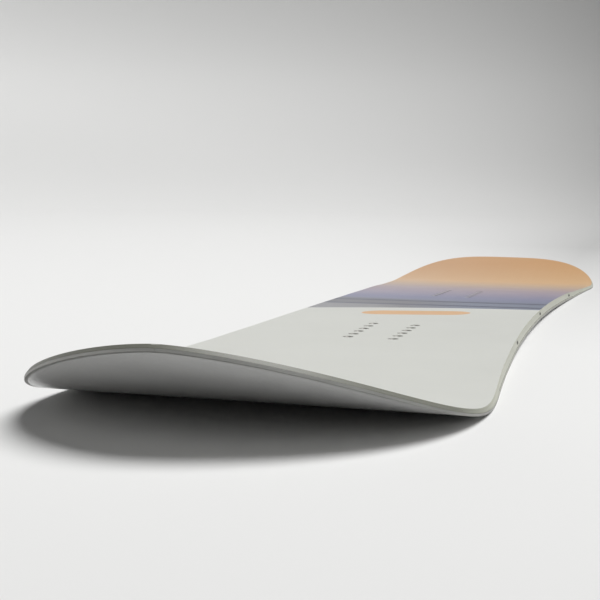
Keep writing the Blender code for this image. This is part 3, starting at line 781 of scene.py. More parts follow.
@dataclass(frozen=True)
class TurnedSteel(Finish):
    """Stainless bar, turned and tapped. The tool leaves fine rings that glint in fans."""

    relief: Pair = (0.15, 0.00005)
    gloss: Range = (0.3, 0.7, 0.07, 0.10)
    feed: float = 0.00025

    def draw(self, graph: Graph) -> None:
        """Rings one feed apart along the turned profile, whose length is the piece's own attribute.

        The feed is 0.25 mm, and oil dulls the steel in spots of 2.5 mm.

        Args:
            graph: The material's node tree.
        """
        add = graph.add
        along = add("Attribute", attribute_name="mark").outputs["Fac"]
        ring = add("Math", (along, math.tau / self.feed), operation="MULTIPLY")
        wave = add("Math", (ring,), operation="SINE")
        oil = add("TexNoise", {"Vector": graph.place, "Scale": 400.0, "Detail": 3.0})
        colour = add("ValToRGB", (oil,), stops=[(0.3, "#96948f"), (0.7, self.colour)])
        self.lay(graph, colour, wave, oil)


@dataclass(frozen=True)
class MouldedPlastic(Finish):
    """Injection-moulded nylon or rolled rubber foil: dark, dull, with a fine eroded grain."""

    lighter: str = "#34352f"
    grain: float = 0.0005

    def draw(self, graph: Graph) -> None:
        """A grain of half a millimetre in the relief, and a dusty bloom, 6 mm across, in the colour.

        Args:
            graph: The material's node tree.
        """
        add = graph.add
        dust = add("TexNoise", {"Vector": graph.place, "Scale": 180.0, "Detail": 4.0})
        colour = add("ValToRGB", (dust,), stops=[(0.35, self.colour), (0.8, self.lighter)])
        pits = add("TexNoise", {"Vector": graph.place, "Scale": 1.0 / self.grain, "Detail": 1.0})
        self.lay(graph, colour, pits)


@dataclass(frozen=True)
class PlanedWood(Finish):
    """Planed core wood, its grain along the board: growth lines, pores and a raw, dry surface."""

    relief: Pair = (0.3, 0.0002)
    late: str = "#8f6440"
    ring: float = 0.0045
    ring_share: float = 0.45

    def draw(self, graph: Graph) -> None:
        """Growth lines 4.5 mm apart that drift along the strip, and short dark pores.

        The pores are 11 mm long and under 0.2 mm wide, drawn at 0.6 mm so that they show.

        Args:
            graph: The material's node tree.
        """
        add = graph.add
        along = add("Mapping", {"Vector": graph.place, "Scale": (0.06, 1.0, 1.0)})
        rings = add("TexWave", {"Vector": along, "Scale": WAVE / self.ring, "Distortion": 3.0,
                                "Detail": 3.0, "Detail Scale": 1.5}, bands_direction="Y")
        fine = add("Mapping", {"Vector": graph.place, "Scale": (90.0, 1800.0, 1800.0)})
        pores = add("TexNoise", {"Vector": fine, "Scale": 1.0, "Detail": 3.0})
        mixed = add("Math", (rings.outputs["Fac"], self.ring_share, pores), operation="MULTIPLY_ADD")
        colour = add("ValToRGB", (mixed,), stops=[(0.35, self.colour), (1.0, self.late)])
        self.lay(graph, colour, pores)


@dataclass(frozen=True)
class SeamlessPaper(Finish):
    """Matt studio paper with painted light falloff: palest round the board, painted shade far off, to the
    right and behind.

    Each range is where a step starts and ends, and its two values.
    """

    rightward: tuple[float, float, float] = (0.17, -0.98, 0.0)
    distance: Range = (0.3, 7.4, 1.0, 0.76)
    padding: float = 0.5
    fan: Range = (-0.35, 0.16, 0.0, 1.0)
    fan_power: float = 4.4
    dimming: Range = (-0.2, 1.9, 0.0, 0.36)
    behind: Range = (-0.45, -3.2, 1.0, 0.35)
    high: Range = (0.15, 0.9, 1.0, 1.20)

    def draw(self, graph: Graph) -> None:
        """A product of four slow steps of painted light and shade, on a surface without gloss.

        The first falls with the distance r from the board's middle. The second falls with the
        reach to the right over r + padding, so that it fans out, and grows along the board. The
        third falls behind the nose, and the fourth rises with the height.

        Args:
            graph: The material's node tree.
        """
        add = graph.add
        parts = add("SeparateXYZ", (graph.place,))
        flat = add("VectorMath", (graph.place, (1.0, 1.0, 0.0)), operation="MULTIPLY")
        away = add("VectorMath", (flat,), operation="LENGTH").outputs["Value"]
        reach = add("VectorMath", (graph.place, self.rightward), operation="DOT_PRODUCT").outputs["Value"]
        padded = add("Math", (away, self.padding), operation="ADD")
        fan = add("Math", (reach, padded), operation="DIVIDE")
        turned = add("MapRange", (fan, *self.fan))
        curve = add("Math", (turned, self.fan_power), operation="POWER")
        grown = add("MapRange", (parts.outputs["X"], *self.dimming))
        lost = add("Math", (curve, grown), operation="MULTIPLY")
        right = add("Math", (1.0, lost), operation="SUBTRACT")
        behind = add("MapRange", (parts.outputs["X"], *self.behind), interpolation_type="SMOOTHSTEP")
        high = add("MapRange", (parts.outputs["Z"], *self.high), interpolation_type="SMOOTHSTEP")
        # The four steps multiply into painted light and shade on the paper
        shade = add("MapRange", (away, *self.distance))
        for step in (right, behind, high):
            shade = add("Math", (shade, step), operation="MULTIPLY")
        colour = add("Mix", {0: shade, 6: linear("#000000"), 7: linear(self.colour)}, data_type="RGBA")
        graph.surface(Base_Color=colour.outputs[2], Specular_IOR_Level=0.0)


TOPSHEET = PrintedNylon("printed_polyamide_foil", "#c6c7c2", 0.40, ior=1.53)
SIDEWALL_ABS = MilledAbs("milled_sidewall_abs", "#c3c4b8", 0.46, ior=1.54)
TIP_ABS = MilledAbs("milled_tip_abs", "#c0c1b6", 0.46, ior=1.54, darker="#b3b4a9")
EDGE_STEEL = GroundSteel("ground_spring_steel", "#b2b2af", 0.58, metallic=1.0)
BASE_PE = StoneGroundBase("stone_ground_polyethylene", "#cacac9", 0.19, ior=1.51)
LAMINATE = GlassLaminate("glass_fibre_epoxy", "#bcbdae", 0.45, ior=1.55)
INSERT_STEEL = TurnedSteel("turned_stainless_steel", "#a5a39e", 0.60, metallic=1.0)
PLUG_NYLON = MouldedPlastic("moulded_nylon", "#23241f", 0.55, ior=1.53)
RUBBER_FOIL = MouldedPlastic("rolled_rubber_foil", "#17181a", 0.75, ior=1.52, lighter="#26272a")
BEECH = PlanedWood("planed_beech", "#b98a5f", 0.62, ior=1.47)
POPLAR = PlanedWood("planed_poplar", "#d6bd92", 0.66, ior=1.47, late="#b89a6c")
PAPER = SeamlessPaper("matt_studio_paper", "#ebebea", 0.95)


def dress(piece: bpy.types.Object, finish: Finish, nodes: Sequence[str]) -> None:
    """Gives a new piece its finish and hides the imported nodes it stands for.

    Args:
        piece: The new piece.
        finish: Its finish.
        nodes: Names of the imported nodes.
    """
    piece.data.materials.clear()
    piece.data.materials.append(finish.material())
    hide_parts(*nodes)
    LOG.info("%s: %d faces, %s", piece.name, len(piece.data.polygons), finish.name)


@dataclass(frozen=True)
class InsertPattern:
    """Where the threaded inserts stand, and the square cells of skin round their mouths."""

    rows: int = 6
    pitch: float = 0.020
    spread: float = 0.040
    mouth: float = 0.0048
    chamfer: float = 0.00012
    cell_sides: int = 8

    def places(self) -> Array:
        """Where a pack's inserts stand.

        Returns:
            Rows of (x, y) from the pack's middle, first the right-hand row.
        """
        x = self.pitch * (np.arange(self.rows) - (self.rows - 1) / 2)
        y = np.array([-self.spread / 2, self.spread / 2])
        return np.column_stack([np.tile(x, 2), np.repeat(y, self.rows)])

    def placed(self, local: Array, centre: float) -> Array:
        """Points given on a binding platform, turned and moved into the board's frame.

        Args:
            local: Points by x, y, z, with x from the pack's middle.
            centre: The pack's middle along the board.

        Returns:
            The points in the board's frame.
        """
        ends = np.array([centre - FORM.platform_half, centre + FORM.platform_half])
        heights = FORM.running_curve(ends)
        slope = math.atan2(heights[1] - heights[0], ends[1] - ends[0])
        along = [math.cos(slope), 0.0, math.sin(slope)]
        up = [-math.sin(slope), 0.0, math.cos(slope)]
        return local @ np.array([along, [0.0, 1.0, 0.0], up]) + np.array([centre, 0.0, heights.mean()])

    def columns(self, y: Array) -> Array:
        """Places across a skin: the edges of the cells, drawn together towards the tips.

        Args:
            y: Half the skin's width at each station.

        Returns:
            Stations by columns, from left to right.
        """
        near, far = self.spread / 2 - self.pitch / 2, self.spread / 2 + self.pitch / 2
        cell = np.linspace(far, near, self.cell_sides + 1)
        scale = np.minimum(1.0, y / (2.0 * far))[:, None]
        rim = far * scale + (y[:, None] - far * scale) * np.array([2.0 / 3.0, 1.0 / 3.0])
        inner = scale * np.concatenate([cell, [0.0], -cell[::-1]])
        return np.concatenate([rim, inner, -rim[:, ::-1]], axis=1)

    def open_faces(self, rings: Array) -> Array:
        """Which faces of a skin stay when the cells round its inserts are taken out.

        A face goes where its middle lies in a pack along the board, and less than half a pitch
        from one of the pack's rows across it.

        Args:
            rings: The skin's rings of points.

        Returns:
            Rows by ring faces of True and False.
        """
        pairs = rings[:-1] + rings[1:]
        x, y, _ = np.moveaxis((pairs + np.roll(pairs, -1, axis=1)) / 4.0, 2, 0)
        in_row = np.abs(np.abs(y) - self.spread / 2) < self.pitch / 2
        in_pack = [np.abs(x - centre) < self.rows * self.pitch / 2 for centre in FORM.pack_centres]
        return ~(in_row & np.any(in_pack, axis=0))

    def mouth_rings(self, centre: float, place: Array, top: float, bottom: float) -> Array:
        """Loops from a cell's square at the top of a skin, down its round hole, to its square below.

        Args:
            centre: The pack's middle.
            place: The insert's (x, y) from the pack's middle.
            top: The skin's upper level.
            bottom: The skin's lower level.

        Returns:
            Five loops of points.
        """
        side = np.linspace(1.0, -1.0, self.cell_sides + 1)[:-1]
        one = np.ones_like(side)
        square = np.concatenate([
            np.column_stack([side, one]), np.column_stack([-one, side]),
            np.column_stack([-side, -one]), np.column_stack([one, -side]),
        ]) * self.pitch / 2 + place
        # The hole's points start an eighth of a turn round, as the square's corner does
        turn = math.tau * (1.0 / 8.0 + np.arange(len(square)) / len(square))
        circle = np.column_stack([np.cos(turn), np.sin(turn)])
        x = centre + square[:, 0]
        outer, inner = (np.column_stack([x, square[:, 1], FORM.base_height(x) + level])
                        for level in (top, bottom))
        round_loops = [
            self.placed(np.column_stack([place + radius * circle, np.full(len(circle), level)]), centre)
            for radius, level in ((self.mouth + self.chamfer, top), (self.mouth, top - self.chamfer),
                                  (self.mouth, bottom))]
        return np.stack([outer, *round_loops, inner])


PATTERN = InsertPattern()


def plain_columns(y: Array) -> Array:
    """Quarter lines across a skin without holes."""
    return y[:, None] * np.array([0.5, 0.0, -0.5])


def across(edge: Array, columns: Callable[[Array], Array]) -> Array:
    """Rows of points straight across the board between a rail and its mirror image.

    Args:
        edge: The left-hand rail.
        columns: Gives the places across for half the width.

    Returns:
        Stations by columns by x, y, z.
    """
    y = columns(edge[:, 1])
    x, z = (np.broadcast_to(edge[:, axis:axis + 1], y.shape) for axis in (0, 2))
    return np.stack([x, y, z], axis=2)


def skin(name: str, profile: Sequence[Place], holes: "Pair | None" = None) -> bpy.types.Object:
    """A full-width layer from tip to tip.

    Each ring goes up the left side's profile, across the deck, down the right side's and back
    across the bottom. Rings are joined along the board and the tips closed level by level. The
    points below the top line of the sides are marked.

    Args:
        name: The piece's name.
        profile: Pairs of inset and level from the inner bottom, round the side, to the inner top.
        holes: Levels of the top and the bottom where the skin has the insert holes.

    Returns:
        The piece.
    """
    columns = PATTERN.columns if holes else plain_columns
    left = profile_rails(WHOLE, profile)
    deck, floor = across(left[:, -1], columns), across(left[:, 0], columns)[:, ::-1]
    rings = np.concatenate([left, deck, left[:, ::-1] * Side.RIGHT.mirror, floor], axis=1)
    size, edge, span = rings.shape[1], len(profile), deck.shape[1]
    right_end = 2 * edge + span
    marks = np.zeros(rings.shape[:2])
    marks[:, :edge - 1] = marks[:, edge + span + 1:right_end] = 1.0
    shell = Shell()
    shell.add_grid(rings, wrap=True, keep=PATTERN.open_faces(rings) if holes else None, marks=marks)
    for start in (0, size * (len(rings) - 1)):
        for level in range(edge - 1):
            opposite = right_end - 1 - level
            over = range(edge, edge + span) if level == edge - 2 else ()
            under = range(right_end, size) if level == 0 else ()
            face = [level, level + 1, *over, opposite - 1, opposite, *under]
            shell.faces.append([start + corner for corner in face])
    if holes:
        for centre in FORM.pack_centres:
            for place in PATTERN.places():
                shell.add_grid(PATTERN.mouth_rings(centre, place, *holes), wrap=True)
    return shell.build(name)


@dataclass(frozen=True)
class Skins:
    """The full-width layers: running base, two laminates and the printed topsheet."""

    base_inset: float = 0.00201
    base_thickness: float = 0.00115
    low_laminate: Pair = (0.00115, 0.00185)
    raised_laminate: Pair = (0.00175, 0.0025)
    joggle: Pair = (0.0073, 0.0093)
    upper_laminate: Pair = (0.00055, 0.00125)
    topsheet_depth: float = 0.00055
    arris: float = 0.00006

    def make(self) -> None:
        """Builds and dresses the four layers."""
        base = skin("running_base", [(self.base_inset, 0.0), (self.base_inset, self.base_thickness)])
        dress(base, BASE_PE, ["base_sheet"])
        self.make_lower_laminate()
        self.make_deck_layers()

    def make_lower_laminate(self) -> None:
        """The glass layer on the base, stepped up over the edges' toothed flange."""
        low, high = self.low_laminate
        under, over = self.raised_laminate
        start, end = self.joggle
        lower = skin("lower_glass", [
            (end, low), (start, under), (FORM.bevel(under), under),
            (FORM.bevel(over), over), (start, over), (end, high)])
        dress(lower, LAMINATE, ["lower_laminate"])

    def make_deck_layers(self) -> None:
        """The upper glass and the topsheet, both holed over the inserts.

        A layer's side leans with the board's bevel, and the topsheet's upper arris is broken.
        """
        full = FORM.middle_thickness
        top, bottom = (FORM.under_deck(depth) for depth in self.upper_laminate)
        upper = skin("upper_glass", [(FORM.bevel(bottom), bottom), (FORM.bevel(top), top)],
                     tuple(full - depth for depth in self.upper_laminate))
        dress(upper, LAMINATE, ["upper_laminate"])
        deck, shoulder = FORM.under_deck(0.0), FORM.under_deck(self.arris)
        floor = FORM.under_deck(self.topsheet_depth)
        sheet = skin("printed_topsheet", [
            (FORM.bevel(floor), floor), (FORM.bevel(shoulder), shoulder),
            (FORM.bevel(deck, deeper=self.arris), deck)], (full, full - self.topsheet_depth))
        dress(sheet, TOPSHEET, ["topsheet"])


@dataclass(frozen=True)
class SteelEdges:
    """Two rolled edges bent round both tips, each with a web of dovetail anchor teeth."""

    height: float = 0.00165
    width: float = 0.0020
    web_bottom: float = 0.0013
    web_reach: float = 0.0034
    tooth_reach: float = 0.0070
    tooth: float = 0.016
    gap: float = 0.016
    flare: float = 0.0015
    tooth_steps: int = 5
    arris: float = 0.00010
    tip_joint: float = 0.00006

    def to_centre(self, rails: Array) -> Array:
        """Carries rails on across the tip faces until they nearly meet their mirror image.

        Args:
            rails: Rails of the left-hand side.

        Returns:
            The rails with a station more at each end.
        """
        ends = rails[[0, -1]]
        ends[:, :, 1] = self.tip_joint
        return np.concatenate([ends[:1], rails, ends[1:]])

    def teeth(self) -> Array:
        """The teeth of the left edge.

        Along the edge a root runs from s to s + tooth, and its head starts and ends a flare
        further out. Places along the edge are read off its lines by length.

        Returns:
            Teeth by steps along by four corners by x, y, z.
        """
        length = travelled(rail(WHOLE, 0.0, 0.0))
        starts = np.arange(self.gap, length[-1] - self.tooth - self.gap, self.tooth + self.gap)
        share = np.linspace(0.0, 1.0, self.tooth_steps)
        root = self.web_reach - self.arris
        corners = []
        for inset, level, flare in (
            (root, self.web_bottom, 0.0), (root, self.height, 0.0),
            (self.tooth_reach, self.height, self.flare), (self.tooth_reach, self.web_bottom, self.flare),
        ):
            place = starts[:, None] - flare + (self.tooth + 2.0 * flare) * share
            points = rail(WHOLE, inset, level)
            corners.append(np.stack([np.interp(place, length, values) for values in points.T], axis=2))
        return np.stack(corners, axis=2)

    def make(self) -> None:
        """Sweeps each edge's section along the outline and sets the teeth on its web."""
        section = [
            (self.arris, 0.0), (0.0, self.arris), (0.0, self.height - self.arris),
            (self.arris, self.height), (self.web_reach, self.height), (self.web_reach, self.web_bottom),
            (self.width, self.web_bottom), (self.width, 0.0),
        ]
        for side in Side:
            shell = Shell()
            shell.add_tube(self.to_centre(profile_rails(WHOLE, section)) * side.mirror)
            for tooth in self.teeth():
                shell.add_tube(tooth * side.mirror)
            name = side.name.lower()
            dress(shell.build("edge_rail_" + name), EDGE_STEEL, ["steel_edge_" + name])


@dataclass(frozen=True)
class Sidewalls:
    """The bevelled side strips, the rubber foil under them and the plugs in them."""

    ends: Pair = (-0.59985, 0.61985)
    rim_bottom: float = 0.0025
    foil_ends: Pair = (-0.450, 0.450)
    foil: float = 0.0003
    foil_ramp: float = 0.020
    foil_reach: float = 0.0070
    width: float = 0.0110
    rebate: Pair = (0.0073, 0.0096)
    core_bottom: float = 0.0020
    core_depth: float = 0.00125
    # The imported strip's own bottom, its rise over the foil and its depth under the deck
    packed_bottom: float = 0.00265
    packed_rise: float = 0.0005
    packed_depth: float = 0.0014
    plug_shares: tuple[float, ...] = (-0.143, 0.027, 0.228)
    plug_length: float = 0.0120
    plug_radius: float = 0.0013
    plug_depth: float = 0.0018
    plug_gap: float = 0.00010
    plug_sides: int = 32
    # The plug's face, from its shoulder to its dish: shares of the radius and heights
    plug_face: tuple[Pair, ...] = ((1.0, -0.00035), (0.96, -0.00014), (0.86, -0.00003), (0.70, 0.0),
                                   (0.45, -0.00008), (0.0, -0.00012))

    def lift(self, x: Array) -> Array:
        """Height of the strip's underside: raised by the foil, ramping down past its ends.

        Args:
            x: Places along the board.

        Returns:
            The height over the base.
        """
        start, end = self.foil_ends
        places = [start - self.foil_ramp, start, end, end + self.foil_ramp]
        return self.rim_bottom + np.interp(x, places, [0.0, self.foil, self.foil, 0.0])

    def make(self) -> None:
        """Builds both sides: the drilled strip, the foil and the plugs."""
        top = FORM.under_deck(self.core_depth)
        bottom, foil_top = self.rim_bottom, self.rim_bottom + self.foil
        strip_section = [
            (FORM.bevel(self.lift), self.lift), (FORM.bevel(top), top), (self.width, top),
            (self.width, self.core_bottom), (self.rebate[1], self.core_bottom), (self.rebate[0], self.lift)]
        foil_section = [(FORM.bevel(bottom), bottom), (FORM.bevel(foil_top), foil_top),
                        (self.foil_reach, foil_top), (self.foil_reach, bottom)]
        for side in Side:
            name = side.name.lower()
            strip = self.sweep("side_strip_" + name, self.ends, strip_section, side)
            self.drill(strip, side)
            dress(strip, SIDEWALL_ABS, ["sidewall_" + name])
            foil = self.sweep("foil_" + name, self.foil_ends, foil_section, side)
            dress(foil, RUBBER_FOIL, ["damping_strip_" + name])
            for number, share in enumerate(self.plug_shares, start=1):
                plug = self.make_plug("side_plug_%s_%d" % (name, number), share, side)
                dress(plug, PLUG_NYLON, ["sidewall_plug_%s_%d" % (name, number)])

    def sweep(self, name: str, ends: Pair, section: Sequence[Place], side: Side) -> bpy.types.Object:
        """A strip with a section that is carried along the side between two places.

        Args:
            name: The piece's name.
            ends: Where it starts and ends.
            section: Pairs of inset and level, round the section.
            side: The side of the board.

        Returns:
            The piece.
        """
        shell = Shell()
        shell.add_tube(profile_rails(Stations(NONE, OUTLINE.between(*ends), NONE), section, side))
        return shell.build(name)

    def plug_place(self, share: float, side: Side) -> Matrix:
        """A plug's mouth and axis: square to the bevelled side, halfway up the strip.

        Args:
            share: Its place as a share of the board's length.
            side: The side of the board.

        Returns:
            A matrix that takes Z to the axis that points out, and X along the strip.
        """
        x = share * FORM.length
        sandwich = float(FORM.thickness(x))
        slope = FORM.bevel_inset / (sandwich - FORM.edge_height)
        bottom = self.packed_bottom + self.packed_rise * (abs(x) < self.foil_ends[1])
        level = (bottom + sandwich - self.packed_depth + self.plug_depth * slope) / 2
        out = Vector((np.interp(x, OUTLINE.x, OUTLINE.out_x), np.interp(x, OUTLINE.x, OUTLINE.out_y), 0.0))
        mouth = Vector((x, float(FORM.half_width(np.array(x))), float(FORM.base_height(x)) + level))
        mouth -= out * (level - FORM.edge_height) * slope
        axis = (out + Vector((0.0, 0.0, slope))).normalized()
        mouth.y *= side.value
        axis.y *= side.value
        along = Vector((0.0, 0.0, 1.0)).cross(axis).normalized()
        return Matrix.Translation(mouth) @ Matrix((along, axis.cross(along), axis)).transposed().to_4x4()

    def long_rings(self, profile: Sequence[Pair], place: Matrix) -> Array:
        """Rings of a round-ended body, placed.

        Each (radius, height) pair goes round Z, and each half turn is shifted along X by half
        the straight run.

        Args:
            profile: Pairs of radius and height.
            place: Where the body's mouth and axis are.

        Returns:
            Rings by points by x, y, z.
        """
        radius, height = np.array(profile).T
        turn = math.tau * (np.arange(self.plug_sides) + 0.5) / self.plug_sides
        run = self.plug_length / 2.0 - self.plug_radius
        rings = round_rings(radius[:, None], height, turn)
        rings[:, :, 0] += np.copysign(run, np.cos(turn))
        matrix = np.array(place)
        return rings @ matrix[:3, :3].T + matrix[:3, 3]

    def make_plug(self, name: str, share: float, side: Side) -> bpy.types.Object:
        """A long plug with a rounded shoulder and a dished face.

        Args:
            name: The piece's name.
            share: Its place as a share of the board's length.
            side: The side of the board.

        Returns:
            The plug.
        """
        radius, depth = self.plug_radius, self.plug_depth
        face = [(radius * part, height) for part, height in self.plug_face]
        profile = [(0.0, -depth), (radius, -depth), *face]
        shell = Shell()
        shell.add_grid(self.long_rings(profile, self.plug_place(share, side)), wrap=True)
        return shell.build(name)

    def drill(self, strip: bpy.types.Object, side: Side) -> None:
        """Takes the plugs' blind holes out of a strip with one applied Boolean.

        Args:
            strip: The strip.
            side: Its side of the board.
        """
        radius, floor, proud = self.plug_radius + self.plug_gap, -self.plug_depth - self.plug_gap, 0.001
        profile = [(0.0, floor), (radius, floor), (radius, proud), (0.0, proud)]
        shell = Shell()
        for share in self.plug_shares:
            shell.add_grid(self.long_rings(profile, self.plug_place(share, side)), wrap=True)
        cutter = shell.build("drill", rides=False)
        modifier = strip.modifiers.new("drill", "BOOLEAN")
        modifier.operation, modifier.solver, modifier.object = "DIFFERENCE", "EXACT", cutter
        depsgraph = bpy.context.evaluated_depsgraph_get()
        drilled = bpy.data.meshes.new_from_object(strip.evaluated_get(depsgraph))
        strip.modifiers.clear()
        strip.data = drilled
        bpy.data.objects.remove(cutter, do_unlink=True)


@dataclass(frozen=True)
class TipSpacer:
    """A tip piece: the rim of the board with the round end of the core left open."""

    name: str
    joint: float
    core_end: float
    rim_bottom: float = 0.0025
    rebate: Pair = (0.0073, 0.0096)
    core_bottom: float = 0.00185
    core_depth: float = 0.00125
    core_inset: float = 0.0113
    steps: int = 9

    def stations(self) -> Stations:
        """From the joint with the sidewall to the tip."""
        nose, tail = (OUTLINE.nose, NONE) if self.joint < 0.0 else (NONE, OUTLINE.tail)
        return Stations(nose, np.array([self.joint]), tail)

    def core_edge(self, outer: Array) -> Array:
        """The core's round end as (x, y), met at the same share of its arc as of the rim's length.

        The arc has the radius (chord**2 / 4 + rise**2) / (2 * rise).

        Args:
            outer: A rail of the rim, joint first.

        Returns:
            Rows of x and y.
        """
        half_chord = float(OUTLINE.read(OUTLINE.moved_in(self.core_inset), self.joint))
        rise = abs(self.core_end - self.joint)
        radius = (half_chord**2 + rise**2) / (2.0 * rise)
        centre = self.core_end + math.copysign(radius, self.joint - self.core_end)
        length = travelled(outer)
        turn = math.asin(half_chord / radius) * (1.0 - length / length[-1])
        x = centre + math.copysign(radius, self.core_end - centre) * np.cos(turn)
        return np.column_stack([x, radius * np.sin(turn)])

    def bridge(self, start: Array, end: Array, level: Level) -> Array:
        """Lines between a rail and the core's end: straight in plan, lifted to the board's curve.

        Args:
            start: The rail's points.
            end: The core end's (x, y).
            level: Height over the base.

        Returns:
            Stations by lines by x, y, z.
        """
        share = np.linspace(0.0, 1.0, self.steps)[None, 1:, None]
        flat = start[:, None, :2] * (1.0 - share) + end[:, None, :] * share
        x = flat[:, :, 0]
        return np.dstack([flat, FORM.base_height(x) + value_at(level, x)])

    def make(self) -> None:
        """Sweeps the ring from the left joint round the tip to the right joint."""
        top = FORM.under_deck(self.core_depth)
        rim = [(self.rebate[1], self.core_bottom), (self.rebate[0], self.rim_bottom),
               (FORM.bevel(self.rim_bottom), self.rim_bottom), (FORM.bevel(top), top)]
        rails = profile_rails(self.stations(), rim)
        if self.joint < 0.0:
            rails = rails[::-1]
        inner = self.core_edge(rails[:, -1])
        over = self.bridge(rails[:, -1], inner, top)
        under = self.bridge(rails[:, 0], inner, self.core_bottom)[:, ::-1]
        half = np.concatenate([rails, over, under], axis=1)
        shell = Shell()
        shell.add_tube(np.concatenate([half, half[::-1] * Side.RIGHT.mirror]))
        dress(shell.build(self.name + "_rim"), TIP_ABS, [self.name + "_spacer"])


@dataclass(frozen=True)
class Inserts:
    """Blind threaded inserts, turned with a flange under the core and tapped M6."""

    flange: float = 0.0080
    flange_thickness: float = 0.0008
    barrel: float = 0.0045
    core_bottom: float = 0.0020
    floor: float = 0.0012
    recess: float = 0.0002
    arris: float = 0.0002
    neck: float = 0.0003
    crest: float = 0.00246
    root: float = 0.00300
    mouth: float = 0.0032
    thread_pitch: float = 0.0010
    thread_flat: float = 0.125
    sides: int = 36
    rows_per_turn: int = 8

    def rings(self) -> tuple[Array, Array]:
        """The turned body on its own axis.

        Outside, radius and height pairs go round the axis. Inside, the radius goes from crest to
        root and back as a triangle wave of height over pitch plus the share of a turn. The wave
        is stretched and cut off at both ends, which leaves the flats, and fades in at the mouth.

        Returns:
            Rings of points, and the distance along the profile at each.
        """
        top, arris, neck = FORM.middle_thickness - self.recess, self.arris, self.neck
        bottom, step = self.core_bottom, self.core_bottom + self.flange_thickness
        outside = np.array([
            (0.0, bottom), (self.flange - arris, bottom), (self.flange, bottom + arris),
            (self.flange, step - arris), (self.flange - arris, step), (self.barrel + neck, step),
            (self.barrel, step + neck), (self.barrel, top - arris), (self.barrel - arris, top),
            (self.mouth, top), (self.crest, top - (self.mouth - self.crest))])
        deep, start = bottom + self.floor, outside[-1, 1]
        count = int(round((start - deep) / self.thread_pitch * self.rows_per_turn))
        height = np.linspace(start, deep, count + 1)[1:]
        turn = np.arange(self.sides) / self.sides
        phase = (height[:, None] / self.thread_pitch + turn[None, :]) % 1.0
        triangle = 1.0 - np.abs(2.0 * phase - 1.0)
        wave = np.clip((1.0 + 2.0 * self.thread_flat) * triangle - self.thread_flat, 0.0, 1.0)
        fade = np.clip((start - height) / (0.5 * self.thread_pitch), 0.0, 1.0)[:, None]
        thread = self.crest + (self.root - self.crest) * wave * fade
        radius = np.concatenate([np.repeat(outside[:, :1], self.sides, axis=1), thread,
                                 np.zeros((1, self.sides))])
        level = np.concatenate([outside[:, 1], height, [deep]])
        points = round_rings(radius, level, math.tau * turn)
        return points, travelled(points)

    def make(self) -> None:
        """Places a copy of the turned body at every insert of both packs."""
        points, path = self.rings()
        for pack, centre in zip(("front", "rear"), FORM.pack_centres):
            for number, place in enumerate(PATTERN.places(), start=1):
                standing = PATTERN.placed(points + np.array([*place, 0.0]), centre)
                shell = Shell()
                shell.add_grid(standing, wrap=True, marks=path)
                insert = shell.build("%s_threaded_insert_%d" % (pack, number))
                dress(insert, INSERT_STEEL, ["%s_insert_%d" % (pack, number)])


@dataclass(frozen=True)
class Core:
    """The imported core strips, which keep their shapes and take a wood finish."""

    strips: int = 9

    def make(self) -> None:
        """Beech for the odd strips and poplar for the even ones."""
        for number in range(1, self.strips + 1):
            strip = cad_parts["core_strip_%d" % number]
            finish = BEECH if number % 2 else POPLAR
            for slot in strip.material_slots:
                slot.material = finish.material()
            LOG.info("%s: %s", strip.name, finish.name)


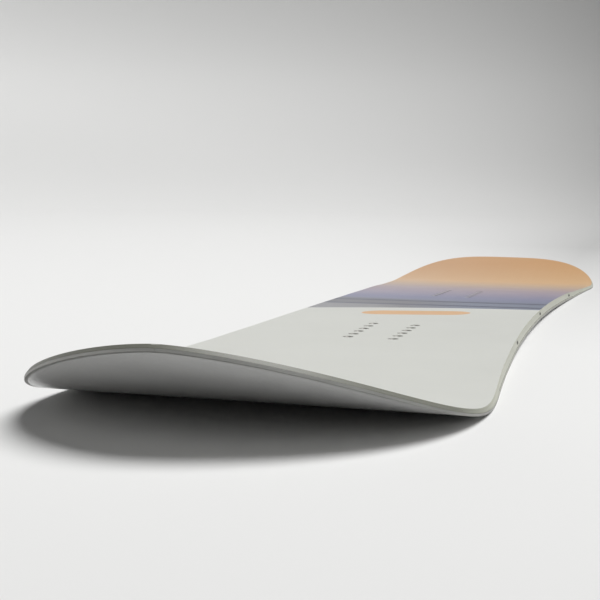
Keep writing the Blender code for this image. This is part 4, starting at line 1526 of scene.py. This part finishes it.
@dataclass(frozen=True)
class Studio:
    """A seamless paper bowl, a broad lamp nearly overhead, and the camera."""

    flat: float = 5.2
    bend: float = 2.6
    wall: float = 3.6
    rings: int = 24
    sides: int = 96
    lamp_direction: tuple[float, float, float] = (0.0915, -0.3746, 0.9226)
    lamp_strength: float = 3.04
    lamp_angle: float = math.radians(42.0)
    sky: str = "#a0a0a0"
    sky_strength: float = 0.375
    camera_place: tuple[float, float, float] = (-1.31808, -0.24202, 0.14027)
    yaw: float = math.radians(15.98987)
    pitch: float = math.radians(-5.13115)
    roll: float = math.radians(0.98587)
    focal_pixels: float = 1269.18
    frame_pixels: float = 600.0
    sensor: float = 36.0
    clip: float = 0.02

    def make(self) -> None:
        """Sets the stage."""
        self.make_paper()
        self.make_light()
        self.make_camera()

    def make_paper(self) -> None:
        """A disc that bends up in a quarter circle into an upright wall, turned round Z."""
        arc = np.linspace(0.0, math.pi / 2.0, self.rings)
        radius = np.concatenate([[0.0, self.flat / 2.0], self.flat + self.bend * np.sin(arc),
                                 [self.flat + self.bend]])
        height = np.concatenate([[0.0, 0.0], self.bend * (1.0 - np.cos(arc)), [self.wall]])
        turn = math.tau * np.arange(self.sides) / self.sides
        shell = Shell()
        shell.add_grid(round_rings(radius[:, None], height, turn), wrap=True)
        paper = shell.build("studio_paper", rides=False)
        paper.data.materials.append(PAPER.material())

    def make_light(self) -> None:
        """One round lamp, 42 degrees across, over a dim even sky."""
        lamp = bpy.data.lights.new("overhead_lamp", "SUN")
        lamp.energy, lamp.angle = self.lamp_strength, self.lamp_angle
        holder = bpy.data.objects.new("overhead_lamp", lamp)
        holder.rotation_euler = Vector(self.lamp_direction).to_track_quat("Z", "Y").to_euler()
        bpy.context.scene.collection.objects.link(holder)
        world = bpy.data.worlds.new("sky")
        world.use_nodes = True
        background = world.node_tree.nodes["Background"]
        background.inputs["Color"].default_value = linear(self.sky)
        background.inputs["Strength"].default_value = self.sky_strength
        bpy.context.scene.world = world
        bpy.context.scene.view_settings.view_transform = "Standard"

    def make_camera(self) -> None:
        """The photograph's view, from low in front of the nose."""
        ahead = Vector((math.cos(self.yaw) * math.cos(self.pitch),
                        math.sin(self.yaw) * math.cos(self.pitch), math.sin(self.pitch)))
        right = Vector((math.sin(self.yaw), -math.cos(self.yaw), 0.0))
        up = right.cross(ahead)
        level = right * math.cos(self.roll) + up * math.sin(self.roll)
        upright = up * math.cos(self.roll) - right * math.sin(self.roll)
        data = bpy.data.cameras.new("camera")
        data.sensor_width = self.sensor
        data.lens = self.focal_pixels / self.frame_pixels * self.sensor
        data.clip_start = self.clip
        camera = bpy.data.objects.new("camera", data)
        turn = Matrix((level, upright, -ahead)).transposed().to_4x4()
        camera.matrix_world = Matrix.Translation(self.camera_place) @ turn
        bpy.context.scene.collection.objects.link(camera)
        bpy.context.scene.camera = camera


def main() -> None:
    """Builds the board from its base up, then the studio."""
    logging.basicConfig(level=logging.INFO, format="%(name)s: %(message)s")
    assemblies = [
        Skins(), SteelEdges(), Sidewalls(), TipSpacer("nose", joint=-0.60015, core_end=-0.655),
        TipSpacer("tail", joint=0.62015, core_end=0.665), Core(), Inserts(), Studio(),
    ]
    for assembly in assemblies:
        assembly.make()
        LOG.info("%s done", type(assembly).__name__)


if __name__ == "__main__":
    main()
